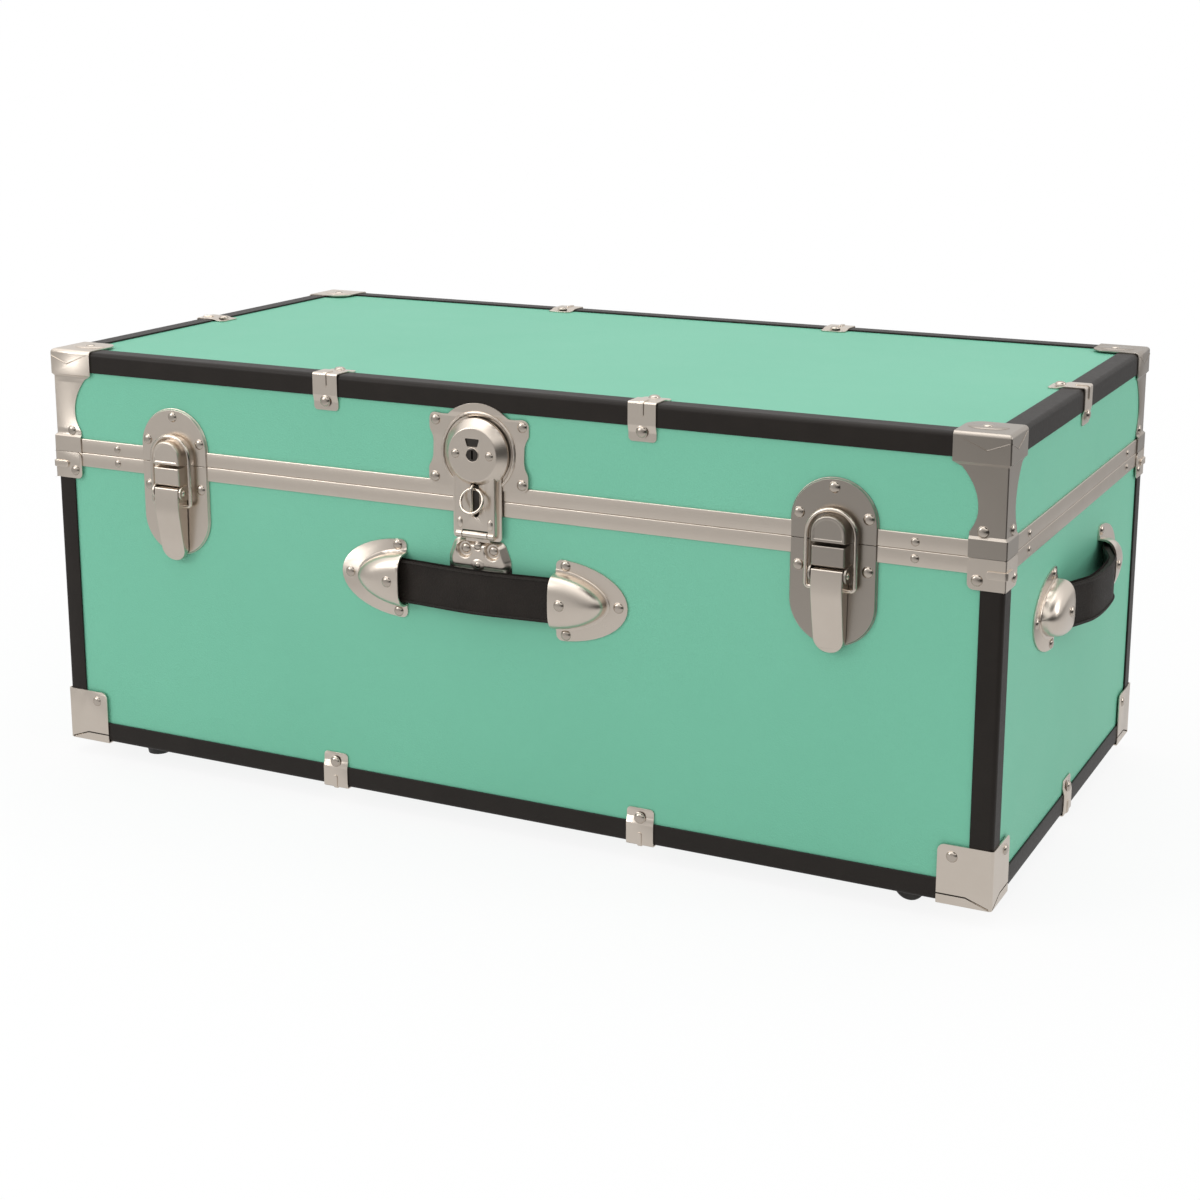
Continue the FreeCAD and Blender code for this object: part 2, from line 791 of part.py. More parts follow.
def latch_lever():
    """Pull lever: a shell with a rounded tip, rolled round its pin at the top."""
    pin_up = split - lever_pin_drop
    tip = pin_up - lever_length
    bend = pin_up - lever_bend_at
    half = lever_width / 2
    side = [
        (pin_up, lever_face_rise, 0),
        (bend, lever_face_rise, lever_bend_at),
        (tip, lever_tip_rise, 0),
        (tip, lever_back_rise, 0),
        (bend, lever_back_rise, 0),
        (pin_up, lever_back_rise + lever_wall, 0),
    ]
    pocket_side = [
        (pin_up, lever_face_rise - lever_wall, 0),
        (bend, lever_face_rise - lever_wall, lever_bend_at),
        (tip, lever_tip_rise - lever_wall, 0),
        (tip, 0, 0),
        (pin_up, 0, 0),
    ]
    plan = [(-half, tip, half), (half, tip, half), (half, pin_up, 0), (-half, pin_up, 0)]
    inner = half - lever_wall
    inner_tip = tip + lever_wall
    pocket_plan = [
        (-inner, inner_tip, inner), (inner, inner_tip, inner), (inner, pin_up, 0), (-inner, pin_up, 0)
    ]
    body = side_slab(side, half).common(slab(plan, 0, lever_face_rise))
    pocket = side_slab(pocket_side, half).common(slab(pocket_plan, 0, lever_face_rise))
    start, end = Vector(-half, pin_up, lever_pin_rise), Vector(half, pin_up, lever_pin_rise)
    body = body.cut(pocket).fuse(rod(lever_knuckle, start, end)).removeSplitter()
    body = body.cut(rod(lever_pin_radius + running_clearance, start, end))
    foot = split - bail_foot
    hole_start, hole_end = Vector(-half, foot, bail_rise), Vector(half, foot, bail_rise)
    return body.cut(rod(bail_wire + running_clearance, hole_start, hole_end))


def swept(points, radius, place):
    """Round wire along a path with rounded corners."""
    edges = edges_through(points, place, False)
    path = Part.Wire(edges)
    start = edges[0].valueAt(edges[0].FirstParameter)
    heading = edges[0].tangentAt(edges[0].FirstParameter)
    ring_edge = Part.makeCircle(radius, start, heading)
    return path.makePipeShell([Part.Wire([ring_edge])], True, False)


def latch_bail():
    """Wire loop whose ends turn into the lever."""
    foot, crown = split - bail_foot, split + bail_top
    half = bail_half_width
    path = [
        (bail_inner_end, foot, 0),
        (half, foot, bail_foot_bend),
        (half, crown, bail_top_bend),
        (-half, crown, bail_top_bend),
        (-half, foot, bail_foot_bend),
        (-bail_inner_end, foot, 0),
    ]
    return swept(path, bail_wire, lambda a, b: Vector(a, b, bail_rise))


def latches():
    nodes = {"latch_pins": []}
    for name, across in (("left", -latch_offset), ("right", latch_offset)):
        nodes["latch_catch_" + name] = put(moved(latch_catch(), across), front)
        nodes["latch_base_" + name] = put(moved(latch_base(), across), front)
        nodes["latch_lever_" + name] = put(moved(latch_lever(), across), front)
        nodes["latch_bail_" + name] = put(moved(latch_bail(), across), front)
        nodes["latch_pins"].append(put(moved(latch_pin(), across), front))
    return nodes


def lock_catch_plate():
    """Plate on the lid: an arch over four ears, a pressed ring and the keeper behind the window."""
    centre = split + lock_centre
    wide, waist = lock_ear
    low = split + lock_plate_low
    ear_top = split + lock_plate_ear_top
    low_end = low + lock_plate_ear_height
    high_start = ear_top - lock_plate_ear_height
    radius = lock_ear_radius
    flank = [
        (wide, low, radius),
        (wide, low_end, radius),
        (waist, low_end + radius, radius),
        (waist, high_start - radius, radius),
        (wide, high_start, radius),
        (wide, ear_top, radius),
    ]
    points = flank + [(-a, b, r) for a, b, r in reversed(flank)]
    ears = slab(points, 0, lock_plate_rise)
    middle = Vector(0, centre, 0)
    top = centre + lock_arch
    above = box((-wide, low, 0), (wide, top, lock_plate_rise + lock_ring[2]))
    rim = Part.makeCylinder(lock_arch, lock_plate_rise, middle, Z).common(above)
    ring_radius_out, ring_half, ring_rise = lock_ring
    on_top = Vector(0, centre, lock_plate_rise)
    bead = Part.makeCone(ring_radius_out + ring_half, ring_radius_out + ring_half / 2, ring_rise, on_top, Z)
    groove = Part.makeCone(ring_radius_out - ring_half, ring_radius_out - ring_half / 2, ring_rise, on_top, Z)
    half_width, half_height, reach = keeper
    window_up = centre + window[3]
    block = box(
        (-half_width, window_up - half_height, 0),
        (half_width, window_up + half_height, lock_plate_rise + reach),
    )
    ring = bead.cut(groove).common(above)
    plate = fused([ears, rim, ring])
    plate = over_strip(plate, ears, low, rail_high + lock_step, rail_thickness)
    binding_low = top_z + binding_thickness - strip_leg
    plate = over_strip(plate, rim, binding_low, top, binding_thickness)
    return fused([plate, block])


def flap_strap(base_half, face_half, low, high, rise_low, rise_high):
    """The flap's strap: wider at its back than at its face."""
    points = [(-base_half, rise_low, 0), (base_half, rise_low, 0), (face_half, rise_high, 0), (-face_half, rise_high, 0)]
    return plan_slab(points, low, high)


def lock_flap():
    """Hinged flap: a domed lock case above a channel-shaped strap, hollow behind."""
    centre = split + lock_centre
    pin_up = split - flap_foot
    middle = Vector(0, centre, flap_back_rise)
    shoulder = Vector(0, centre, flap_rim_rise)
    depth = flap_face_rise - flap_rim_rise
    rim_depth = flap_rim_rise - flap_back_rise
    rim = Part.makeCylinder(flap_base_radius, rim_depth, middle, Z)
    dome = Part.makeCone(flap_base_radius, flap_face_radius, depth, shoulder, Z)
    base_half, face_half = flap_base_width / 2, flap_face_width / 2
    strap = flap_strap(base_half, face_half, pin_up, centre, flap_back_rise, strap_face_rise)
    wall = flap_wall
    inner, inner_face = flap_base_radius - wall, flap_face_radius - wall
    hollow = Part.makeCone(inner, inner_face, depth - wall, shoulder, Z)
    rim_hollow = Part.makeCylinder(inner, rim_depth, middle, Z)
    channel = flap_strap(
        base_half - wall, face_half - wall, pin_up, centre, flap_back_rise, strap_face_rise - wall
    )
    flap = fused([rim, dome, strap]).cut(hollow).cut(rim_hollow).cut(channel)
    reach = flap_knuckle_length / 2 + side_clearance
    lug_end = reach + flap_lug
    for side in (-1, 1):
        start = Vector(side * reach, pin_up, flap_pin_rise)
        end = Vector(side * lug_end, pin_up, flap_pin_rise)
        near, far = sorted((start.x, end.x))
        web = box(
            (near, pin_up, strap_face_rise - flap_knuckle),
            (far, pin_up + flap_notch, flap_pin_rise + flap_knuckle),
        )
        flap = flap.fuse([rod(flap_knuckle, start, end), web])
    flap = flap.removeSplitter()
    notch = box((-reach, pin_up - flap_knuckle, 0), (reach, pin_up + flap_notch, flap_face_rise))
    pin_hole = rod(
        flap_pin_radius + running_clearance,
        Vector(-base_half, pin_up, flap_pin_rise), Vector(base_half, pin_up, flap_pin_rise),
    )
    flap = flap.cut(notch).cut(pin_hole)
    top_half, low_half, half_height, offset = window
    window_up = centre + offset
    opening = [
        (-low_half, window_up - half_height, 0), (low_half, window_up - half_height, 0),
        (top_half, window_up + half_height, 0), (-top_half, window_up + half_height, 0),
    ]
    flap = flap.cut(slab(opening, flap_face_rise - 2 * wall, flap_face_rise))
    plug_hole = Part.makeCylinder(plug_radius + running_clearance, 2 * wall,
                                  Vector(0, centre, flap_face_rise - 2 * wall), Z)
    slot_half, slot_reach = strap_slot
    slot_low = split + strap_slot_centre - slot_reach
    slot_high = split + strap_slot_centre + slot_reach
    slot = [
        (-slot_half, slot_low, slot_half), (slot_half, slot_low, slot_half),
        (slot_half, slot_high, slot_half), (-slot_half, slot_high, slot_half),
    ]
    return flap.cut(plug_hole).cut(slab(slot, strap_face_rise - 2 * wall, flap_face_rise))


def ring_staple():
    """Wire staple that stands out of the flap's slot, on a foot behind the flap's face."""
    middle = split + strap_slot_centre
    low, high = middle - staple_half, middle + staple_half
    back_of_face = strap_face_rise - flap_wall
    crown = strap_face_rise + staple_reach
    path = [
        (low, back_of_face, 0), (low, crown, staple_bend), (high, crown, staple_bend),
        (high, back_of_face, 0),
    ]
    wire = swept(path, staple_wire, lambda a, b: Vector(0, a, b))
    half, reach, thickness = staple_foot
    foot = box(
        (-half, middle - reach, back_of_face - thickness), (half, middle + reach, back_of_face)
    )
    return fused([wire, foot])


def lock_ring_piece():
    """Ring for a padlock, hung on the staple and resting against it."""
    pivot_up = split + strap_slot_centre + staple_half - ring_drop
    pivot_out = strap_face_rise + ring_pivot_rise
    tilt = math.radians(ring_tilt)
    hang = Vector(0, -math.cos(tilt), math.sin(tilt))
    centre = Vector(0, pivot_up, pivot_out) + hang * ring_radius
    normal = hang.cross(X)
    return Part.makeTorus(ring_radius, ring_wire, centre, normal)


def key_plug():
    """Key plug with its slot."""
    centre = split + lock_centre
    start = flap_face_rise + plug_proud - plug_depth
    plug = Part.makeCylinder(plug_radius, plug_depth, Vector(0, centre, start), Z)
    half, reach, depth = key_slot
    face = flap_face_rise + plug_proud
    slot = box((-half, centre - reach, face - depth), (half, centre + reach, face))
    return plug.cut(slot)


def lock_base_plate():
    """Bell-shaped plate on the body, with the knuckle that the flap turns about."""
    top_half, low_half = lock_base_width
    high, low = split - lock_base_top, split - lock_base_low
    bend = (high + low) / 2
    radius = lock_base_foot_radius
    points = [
        (-low_half, low, radius), (low_half, low, radius), (low_half, bend, radius),
        (top_half, high, radius / 2), (-top_half, high, radius / 2), (-low_half, bend, radius),
    ]
    plate = pressed_plate(points, lock_base_rise, lock_base_rim, lock_base_slope, plate_thickness)
    wide, narrow = lock_dimple
    depth = lock_base_rise - plate_thickness
    across, drop = lock_base_rivet
    spots = [Vector(side * across, split - drop, 0) for side in (-1, 1)]
    for spot in spots:
        plate = plate.fuse(Part.makeCylinder(narrow + plate_thickness, lock_base_rise, spot, Z))
    for spot in spots:
        plate = plate.cut(Part.makeCone(narrow, wide, depth, spot + Z * plate_thickness, Z))
    pin_up = split - flap_foot
    half = flap_knuckle_length / 2
    start, end = Vector(-half, pin_up, flap_pin_rise), Vector(half, pin_up, flap_pin_rise)
    web_low = high - lock_base_slope - lock_base_rim
    web = box(
        (-half, web_low, lock_base_rise - plate_thickness),
        (half, pin_up, lock_web_rise),
    )
    mark = Vector(0, split - lock_base_small_rivet, 0)
    web = web.cut(Part.makeCylinder(small_rivet[0] + ear_gap, lock_web_rise, mark, Z))
    knuckle = rod(flap_knuckle, start, end)
    bore = rod(flap_pin_radius, start, end)
    return fused([plate, web, knuckle]).cut(bore)


def lock_hinge_pin():
    pin_up = split - flap_foot
    reach = flap_knuckle_length / 2 + side_clearance + flap_lug
    return rod(flap_pin_radius, Vector(-reach, pin_up, flap_pin_rise), Vector(reach, pin_up, flap_pin_rise))


def lock_backing_pad():
    """Thin pad under the foot of the lock's base plate."""
    half = pad_half_width
    low, high = split - pad_low, split - lock_base_low
    points = [(-half, low, pad_radius), (half, low, pad_radius), (half, high, 0), (-half, high, 0)]
    return slab(points, 0, pad_thickness)


def centre_lock():
    shapes = {
        "lock_catch_plate": lock_catch_plate(),
        "lock_flap": lock_flap(),
        "lock_ring_staple": ring_staple(),
        "lock_ring": lock_ring_piece(),
        "lock_key_plug": key_plug(),
        "lock_base_plate": lock_base_plate(),
        "lock_hinge_pin": lock_hinge_pin(),
        "lock_backing_pad": lock_backing_pad(),
    }
    return {name: put(shape, front) for name, shape in shapes.items()}


def ellipse(along, across, level):
    """Wire of an ellipse about the middle of a cap's mouth."""
    middle = Vector(cap_inner, 0, level)
    curve = Part.Ellipse(middle + X * along, middle + Y * across, middle)
    return Part.Wire(curve.toShape())


def dome(along, across, rise):
    """A dome over the outer half of an ellipse, in rings that close in towards its top."""
    wires = [ellipse(along * share, across * share, rise * level) for level, share in dome_sections]
    room = box((cap_inner, -across, 0), (cap_inner + along, across, rise))
    return Part.makeLoft(wires, True, True).common(room)


def handle_cap():
    """Steel cap over the right-hand end of a handle, open towards the strap."""
    reach = cap_outer - cap_inner
    half = cap_half_height
    plate = Part.Face(ellipse(reach, half, 0)).extrude(Z * cap_plate_thickness)
    beyond = box((cap_inner - reach, -half, 0), (cap_inner, half, dome_rise))
    plate = plate.cut(beyond)
    mouth = [
        edge for edge in plate.Edges
        if abs(edge.Length - cap_plate_thickness) < running_clearance
        and edge.BoundBox.XMax < cap_inner + running_clearance
    ]
    plate = plate.makeFillet(leaf_corner_radius, mouth)
    along, thickness = dome_outer - cap_inner, cap_plate_thickness
    outer = dome(along, dome_half_height, dome_rise)
    hollow = dome(along - thickness, dome_half_height - thickness, dome_rise - thickness)
    return fused([plate, outer]).cut(hollow)


def band(path, thickness, half):
    """A strap of even thickness along an (across, out) path."""
    outer = shifted(path, -thickness / 2, False)
    inner = shifted(path, thickness / 2, False)
    return plan_slab(outer + inner[::-1], -half, half)


def handle_strap(path):
    return band(path, handle_strap_thickness, handle_strap_width / 2)


def front_strap_path():
    """Nearly flat strap, bowed a little at its middle."""
    end, knee = handle_strap_end, cap_inner
    bend = 2 * knee
    return [
        (-end, strap_end_rise, 0),
        (-knee, strap_end_rise, bend),
        (0, front_strap_bow, 4 * bend),
        (knee, strap_end_rise, bend),
        (end, strap_end_rise, 0),
    ]


def side_strap_path():
    """Strap that bows outwards for the hand."""
    end = handle_strap_end
    return [
        (-end, strap_end_rise, 0),
        (-side_strap_knee, side_strap_knee_rise, side_strap_bend),
        (-side_strap_flat, side_strap_bow, side_strap_bend),
        (side_strap_flat, side_strap_bow, side_strap_bend),
        (side_strap_knee, side_strap_knee_rise, side_strap_bend),
        (end, strap_end_rise, 0),
    ]


def handles():
    nodes = {}
    places = (
        ("front", front, handle_drop, front_strap_path()),
        ("right", right, side_handle_drop, side_strap_path()),
        ("left", left, side_handle_drop, side_strap_path()),
    )
    cap = handle_cap()
    for name, face, drop, path in places:
        up = split - drop
        caps = [cap, mirrored(cap, X)]
        nodes["handle_caps_" + name] = [put(moved(piece, 0, up), face) for piece in caps]
        nodes["handle_strap_" + name] = put(moved(handle_strap(path), 0, up), face)
    return nodes


def hinge_leaf(upper):
    """Stepped leaf over the rail, with its knuckles round the pin."""
    sign = 1 if upper else -1
    rail_edge = split + sign * (rail_height + side_clearance)
    end = split + sign * hinge_leaf_height
    near = split + sign * side_clearance
    t = hinge_leaf_thickness
    step = rail_edge + sign * t
    profile = [
        (end, 0, 0), (rail_edge, 0, 0), (rail_edge, rail_thickness, 0), (near, rail_thickness, 0),
        (near, rail_thickness + t, 0), (step, rail_thickness + t, 0), (step, t, 0), (end, t, 0),
    ]
    half = hinge_width / 2
    solid = side_slab(profile, half)
    knuckle = hinge_width / hinge_knuckles
    mine = [i for i in range(hinge_knuckles) if (i % 2 == 1) == upper]
    others = [i for i in range(hinge_knuckles) if i not in mine]
    gap = side_clearance / 2
    for i in others:
        low, high = -half + i * knuckle - gap, -half + (i + 1) * knuckle + gap
        reach = hinge_knuckle + side_clearance
        solid = solid.cut(
            rod(reach, Vector(low, split, hinge_pin_rise), Vector(high, split, hinge_pin_rise))
        )
    for i in mine:
        low, high = -half + i * knuckle + gap, -half + (i + 1) * knuckle - gap
        solid = solid.fuse(
            rod(hinge_knuckle, Vector(low, split, hinge_pin_rise), Vector(high, split, hinge_pin_rise))
        )
    bore = hinge_pin_radius + (running_clearance if upper else 0)
    hole = rod(bore, Vector(-half, split, hinge_pin_rise), Vector(half, split, hinge_pin_rise))
    return solid.removeSplitter().cut(hole)


def hinge_pin():
    half = hinge_width / 2
    return rod(
        hinge_pin_radius, Vector(-half, split, hinge_pin_rise), Vector(half, split, hinge_pin_rise)
    )


def hinges():
    pieces = {
        "hinge_lower_leaves": hinge_leaf(False),
        "hinge_upper_leaves": hinge_leaf(True),
        "hinge_pins": hinge_pin(),
    }
    return {
        name: [put(moved(piece, across), back) for across in (-hinge_offset, hinge_offset)]
        for name, piece in pieces.items()
    }


def wheel():
    """Wheel about its own centre, its axle along Y."""
    half = wheel_width / 2
    hub_radius, hub_proud = wheel_hub
    tyre = Part.makeCylinder(wheel_radius, wheel_width, Y * -half, Y)
    rims = [edge for edge in tyre.Edges if edge.Curve.TypeId == "Part::GeomCircle"]
    tyre = tyre.makeChamfer(wheel_edge, rims)
    hub = Part.makeCylinder(hub_radius, wheel_width + 2 * hub_proud, Y * (-half - hub_proud), Y)
    bore = Part.makeCylinder(
        axle_radius + running_clearance, wheel_width + 4 * hub_proud, Y * (-half - 2 * hub_proud), Y
    )
    return fused([tyre, hub]).cut(bore)


def wheel_housing():
    """Cup sunk in the floor, with a flange under it and two ears for the axle."""
    half_x, half_y = housing_half
    flange_x, flange_y = housing_flange
    low = bottom_z - housing_wall
    roof = bottom_z + panel_thickness + housing_top
    flange = box(
        (-half_x - flange_x, -half_y - flange_y, low),
        (half_x + flange_x, half_y + flange_y, bottom_z),
    )
    cup = box((-half_x, -half_y, low), (half_x, half_y, roof))
    wall = housing_wall
    room = box((wall - half_x, wall - half_y, low), (half_x - wall, half_y - wall, roof - wall))
    ear_half, ear_thickness_here, ear_drop = housing_ear
    ears = []
    near = wheel_width / 2 + wheel_side_gap
    for side in (-1, 1):
        a, b = sorted((side * near, side * (near + ear_thickness_here)))
        ears.append(box((-ear_half, a, wheel_radius - ear_drop), (ear_half, b, bottom_z)))
    reach = near + 2 * ear_thickness_here
    bore = Part.makeCylinder(axle_radius, 2 * reach, Vector(0, -reach, wheel_radius), Y)
    return fused([fused([flange, cup]).cut(room)] + ears).cut(bore)


def axle():
    """Axle through the ears, a little longer than they are wide."""
    reach = wheel_width / 2 + wheel_side_gap + housing_ear[1] + axle_end
    return rod(axle_radius, Vector(0, -reach, wheel_radius), Vector(0, reach, wheel_radius))


def glide_foot():
    """Round foot with a rim, the same height as the wheels."""
    wide, narrow = glide
    rim = Part.makeCylinder(wide + glide_rim, glide_rim, Z * (bottom_z - glide_rim), Z)
    foot = Part.makeCone(narrow, wide, bottom_z - glide_rim, Vector(0, 0, 0), Z)
    return fused([foot, rim])


def rolling_gear():
    x, y = panel_x - wheel_inset_x, panel_y - wheel_inset_y
    glide_y = panel_y - glide_inset_y
    return {
        "wheel_front": moved(wheel(), x, -y, wheel_radius),
        "wheel_back": moved(wheel(), x, y, wheel_radius),
        "wheel_housings": [moved(wheel_housing(), x, side * y) for side in (-1, 1)],
        "wheel_axles": [moved(axle(), x, side * y) for side in (-1, 1)],
        "glide_feet": [moved(glide_foot(), -x, side * glide_y) for side in (-1, 1)],
    }


def corner_rivets(inset, up, level=cover):
    """A rivet on each of the two walls beside every corner, and on nothing else."""
    heads = []
    for face, half in sides:
        for side in (-1, 1):
            head = rivet_head(side * (half + cover - inset), up, level)
            heads.append(put(head, face))
    return heads


def flat_rivets(inset, upper):
    """A rivet on the lid's or floor's leaf at each corner."""
    face = top if upper else bottom
    along, across = panel_x + cover - inset, panel_y + cover - inset
    corners = [(a, b) for a in (-along, along) for b in (-across, across)]
    return [put(rivet_head(a, b, cover), face) for a, b in corners]


def rail_rivets(up):
    heads = []
    for face, half in sides:
        inset = rail_rivet_inset if half == panel_x else side_rail_rivet_inset
        for side in (-1, 1):
            heads.append(put(rivet_head(side * (half - inset), up, rail_thickness), face))
    return heads


def clip_rivets(upper):
    sign = 1 if upper else -1
    outer = (top_z if upper else bottom_z) + sign * cover
    wall_up = outer - sign * clip_rivet
    heads = []
    places = [(front, -clip_offset), (front, clip_offset), (back, -clip_offset)]
    places += [(back, clip_offset), (right, 0.0), (left, 0.0)]
    radius, crown, rise = rivet
    for face, across in places:
        heads.append(put(rivet_head(across, wall_up, cover), face))
        start = Vector(across, outer, cover - clip_rivet)
        heads.append(put(Part.makeCone(radius, crown, rise, start, Y * sign), face))
    return heads


def latch_rivets(upper):
    up = split + latch_rivet_up if upper else split - latch_rivet_down
    spots = [(-latch_rivet_side, up), (latch_rivet_side, up)]
    if upper:
        spots.append((0, split + latch_rivet_top))
    return [
        put(rivet_head(across + a, b, tray_rise), front)
        for across in (-latch_offset, latch_offset)
        for a, b in spots
    ]


def handle_rivets():
    places = ((front, handle_drop), (right, side_handle_drop), (left, side_handle_drop))
    heads = []
    for face, drop in places:
        up = split - drop
        for side in (-1, 1):
            for along, off in cap_rivets:
                spots = [(along, -off), (along, off)] if off else [(along, 0)]
                for a, b in spots:
                    heads.append(put(rivet_head(side * a, up + b, cap_plate_thickness), face))
            heads.append(put(rivet_head(side * dome_rivet, up, dome_rise), face))
    return heads


def hinge_rivets(upper):
    along, inset = hinge_rivet
    sign = 1 if upper else -1
    up = split + sign * (hinge_leaf_height - inset)
    return [
        put(rivet_head(across + side * along, up, hinge_leaf_thickness), back)
        for across in (-hinge_offset, hinge_offset)
        for side in (-1, 0, 1)
    ]


def body_rivets():
    caps_low = bottom_z - cover
    heads = rail_rivets(split - rail_height / 2)
    heads += corner_rivets(top_corner_rivet[0], split - top_corner_rivet[1])
    heads += corner_rivets(bottom_leaf_rivet[0], caps_low + bottom_leaf_rivet[1])
    heads += flat_rivets(bottom_leaf_rivet[0], False)
    heads += clip_rivets(False) + latch_rivets(False) + handle_rivets() + hinge_rivets(False)
    for side in (-1, 1):
        head = rivet_head(side * lock_base_rivet[0], split - lock_base_rivet[1], plate_thickness)
        heads.append(put(head, front))
    for drop in (lock_base_foot_rivet, lock_base_small_rivet):
        heads.append(put(rivet_head(0, split - drop, lock_base_rise, small_rivet), front))
    return heads


def lid_rivets():
    heads = rail_rivets(split + rail_height / 2)
    heads += corner_rivets(lid_leg_rivet[0], split + lid_leg_rivet[1], plate_thickness)
    heads += flat_rivets(lid_top_rivet, True)
    heads += clip_rivets(True) + latch_rivets(True) + hinge_rivets(True)
    stepped = lock_plate_rise + rail_thickness
    for (across, up), level in ((lock_ear_rivet_low, stepped), (lock_ear_rivet_high, lock_plate_rise)):
        for side in (-1, 1):
            heads.append(put(rivet_head(side * across, split + up, level), front))
    return heads


def flap_rivets():
    centre = split + lock_centre
    return [
        put(rivet_head(side * face_rivet_offset, centre, flap_face_rise, face_rivet), front)
        for side in (-1, 1)
    ]


def all_nodes():
    nodes = {}
    nodes.update(body_panels())
    nodes.update(lid_panels())
    for name, (face, half) in zip(("front", "back", "right", "left"), sides):
        nodes["body_rail_" + name] = put(body_rail(half), face)
        nodes["lid_rail_" + name] = put(lid_rail(half), face)
    nodes.update(bindings())
    nodes["lid_corners"] = four_corners(lid_corner())
    nodes["body_top_corners"] = four_corners(body_top_corner())
    nodes["bottom_corners"] = four_corners(bottom_corner())
    nodes["lid_edge_clips"] = edge_clips(True)
    nodes["body_edge_clips"] = edge_clips(False)
    nodes.update(latches())
    nodes.update(centre_lock())
    nodes.update(handles())
    nodes.update(hinges())
    nodes.update(rolling_gear())
    nodes["body_rivets"] = body_rivets()
    nodes["lid_rivets"] = lid_rivets()
    nodes["flap_rivets"] = flap_rivets()
    return nodes


def solids_of(item):
    shapes = item if isinstance(item, list) else [item]
    return [solid for shape in shapes for solid in shape.Solids]


def export(nodes):
    """One STEP file for each node, with the whole part centred front to back over its origin."""
    everything = Part.makeCompound([s for item in nodes.values() for s in solids_of(item)])
    extent = everything.BoundBox
    centring = Vector(-(extent.XMin + extent.XMax) / 2, -(extent.YMin + extent.YMax) / 2, 0)
    print("shift", centring.x, centring.y, "floor", extent.ZMin)
    for name, item in nodes.items():
        solids = solids_of(item)
        for solid in solids:
            solid.translate(centring)
            if not solid.isValid() or solid.Volume <= 0:
                print("CHECK", name, solid.isValid(), solid.Volume)
        whole = Part.makeCompound(solids) if len(solids) > 1 else solids[0]
        whole.exportStep("parts/" + name + ".step")
        print(name, len(solids), "solids", round(whole.Volume, 1), "mm3")


os.makedirs("parts", exist_ok=True)
export(all_nodes())
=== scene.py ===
import logging
import math
from dataclasses import dataclass
from enum import Enum
from typing import Callable, Iterable, Sequence

import bmesh
import bpy
from mathutils import Matrix, Vector


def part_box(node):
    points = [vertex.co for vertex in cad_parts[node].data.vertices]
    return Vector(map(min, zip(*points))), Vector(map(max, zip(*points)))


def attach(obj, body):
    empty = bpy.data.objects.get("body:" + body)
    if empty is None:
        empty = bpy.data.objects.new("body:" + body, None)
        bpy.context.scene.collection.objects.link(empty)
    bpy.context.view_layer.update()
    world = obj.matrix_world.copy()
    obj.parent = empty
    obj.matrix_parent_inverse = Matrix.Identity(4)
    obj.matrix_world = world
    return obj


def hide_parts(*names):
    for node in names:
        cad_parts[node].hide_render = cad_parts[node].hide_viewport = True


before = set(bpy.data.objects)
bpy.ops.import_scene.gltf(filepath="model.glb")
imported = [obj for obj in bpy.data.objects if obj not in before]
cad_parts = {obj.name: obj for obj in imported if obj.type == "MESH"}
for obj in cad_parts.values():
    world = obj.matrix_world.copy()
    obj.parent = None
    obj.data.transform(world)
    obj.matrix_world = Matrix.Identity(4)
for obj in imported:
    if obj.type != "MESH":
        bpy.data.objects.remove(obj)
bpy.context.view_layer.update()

log = logging.getLogger("trunk")

Corner = tuple[float, float, float]
Test = Callable[[object], bool]
NEAR = 1e-5
FACING = 0.9
SHARP_ANGLE = math.radians(32)


# Modelling tools


def centre(element: object) -> Vector:
    """The middle of a vertex, an edge or a face of an edit mesh."""
    if isinstance(element, bmesh.types.BMVert):
        return element.co
    return sum((v.co for v in element.verts), Vector()) / len(element.verts)


def along(element: bmesh.types.BMEdge) -> Vector:
    """The direction of an edge, of length one."""
    return (element.verts[1].co - element.verts[0].co).normalized()


def folded(edge: bmesh.types.BMEdge, angle: float) -> bool:
    """Whether the two faces of an edge meet at more than an angle."""
    return len(edge.link_faces) == 2 and edge.calc_face_angle(0) > angle


def leg_ends(half: float, end: float) -> Test:
    """Tells the corners of the two free ends of a strip that is folded over an edge.

    Args:
        half: half the strip's width.
        end: where both legs end.

    Returns:
        The test of an edge.
    """
    return lambda e: abs(abs(centre(e).x) - half) < NEAR and (
        abs(centre(e).y - end) < NEAR and abs(along(e).z) > FACING
        or abs(centre(e).z - end) < NEAR and abs(along(e).y) > FACING
    )


def even_sheet(half: float, low: float, high: float, foot: float = 0.0, head: float = 0.0) -> list[Corner]:
    """Corners of a sheet that is even about the middle of the face.

    Args:
        half: half its width.
        low: its lower end.
        high: its upper end.
        foot: the radius of its lower corners.
        head: the radius of its upper corners.

    Returns:
        (across, up, radius) of each corner, anticlockwise.
    """
    return [(-half, low, foot), (half, low, foot), (half, high, head), (-half, high, head)]


def lying(up: float = 0.0, out: float = 0.0) -> Matrix:
    """Lays a piece across a face: its X runs up, its Y out of the face and its Z across."""
    return Matrix(((0, 0, 1, 0), (1, 0, 0, up), (0, 1, 0, out), (0, 0, 0, 1)))


def extrude(move: Sequence[float]) -> None:
    """Extrudes what is selected by a move."""
    bpy.ops.mesh.extrude_region_move(TRANSFORM_OT_translate={"value": tuple(move)})


def slide(move: Sequence[float]) -> None:
    """Moves what is selected."""
    bpy.ops.transform.translate(value=tuple(move))


def resize(factors: Sequence[float], about: Sequence[float]) -> None:
    """Scales what is selected about a point."""
    bpy.ops.transform.resize(value=tuple(factors), center_override=tuple(about))


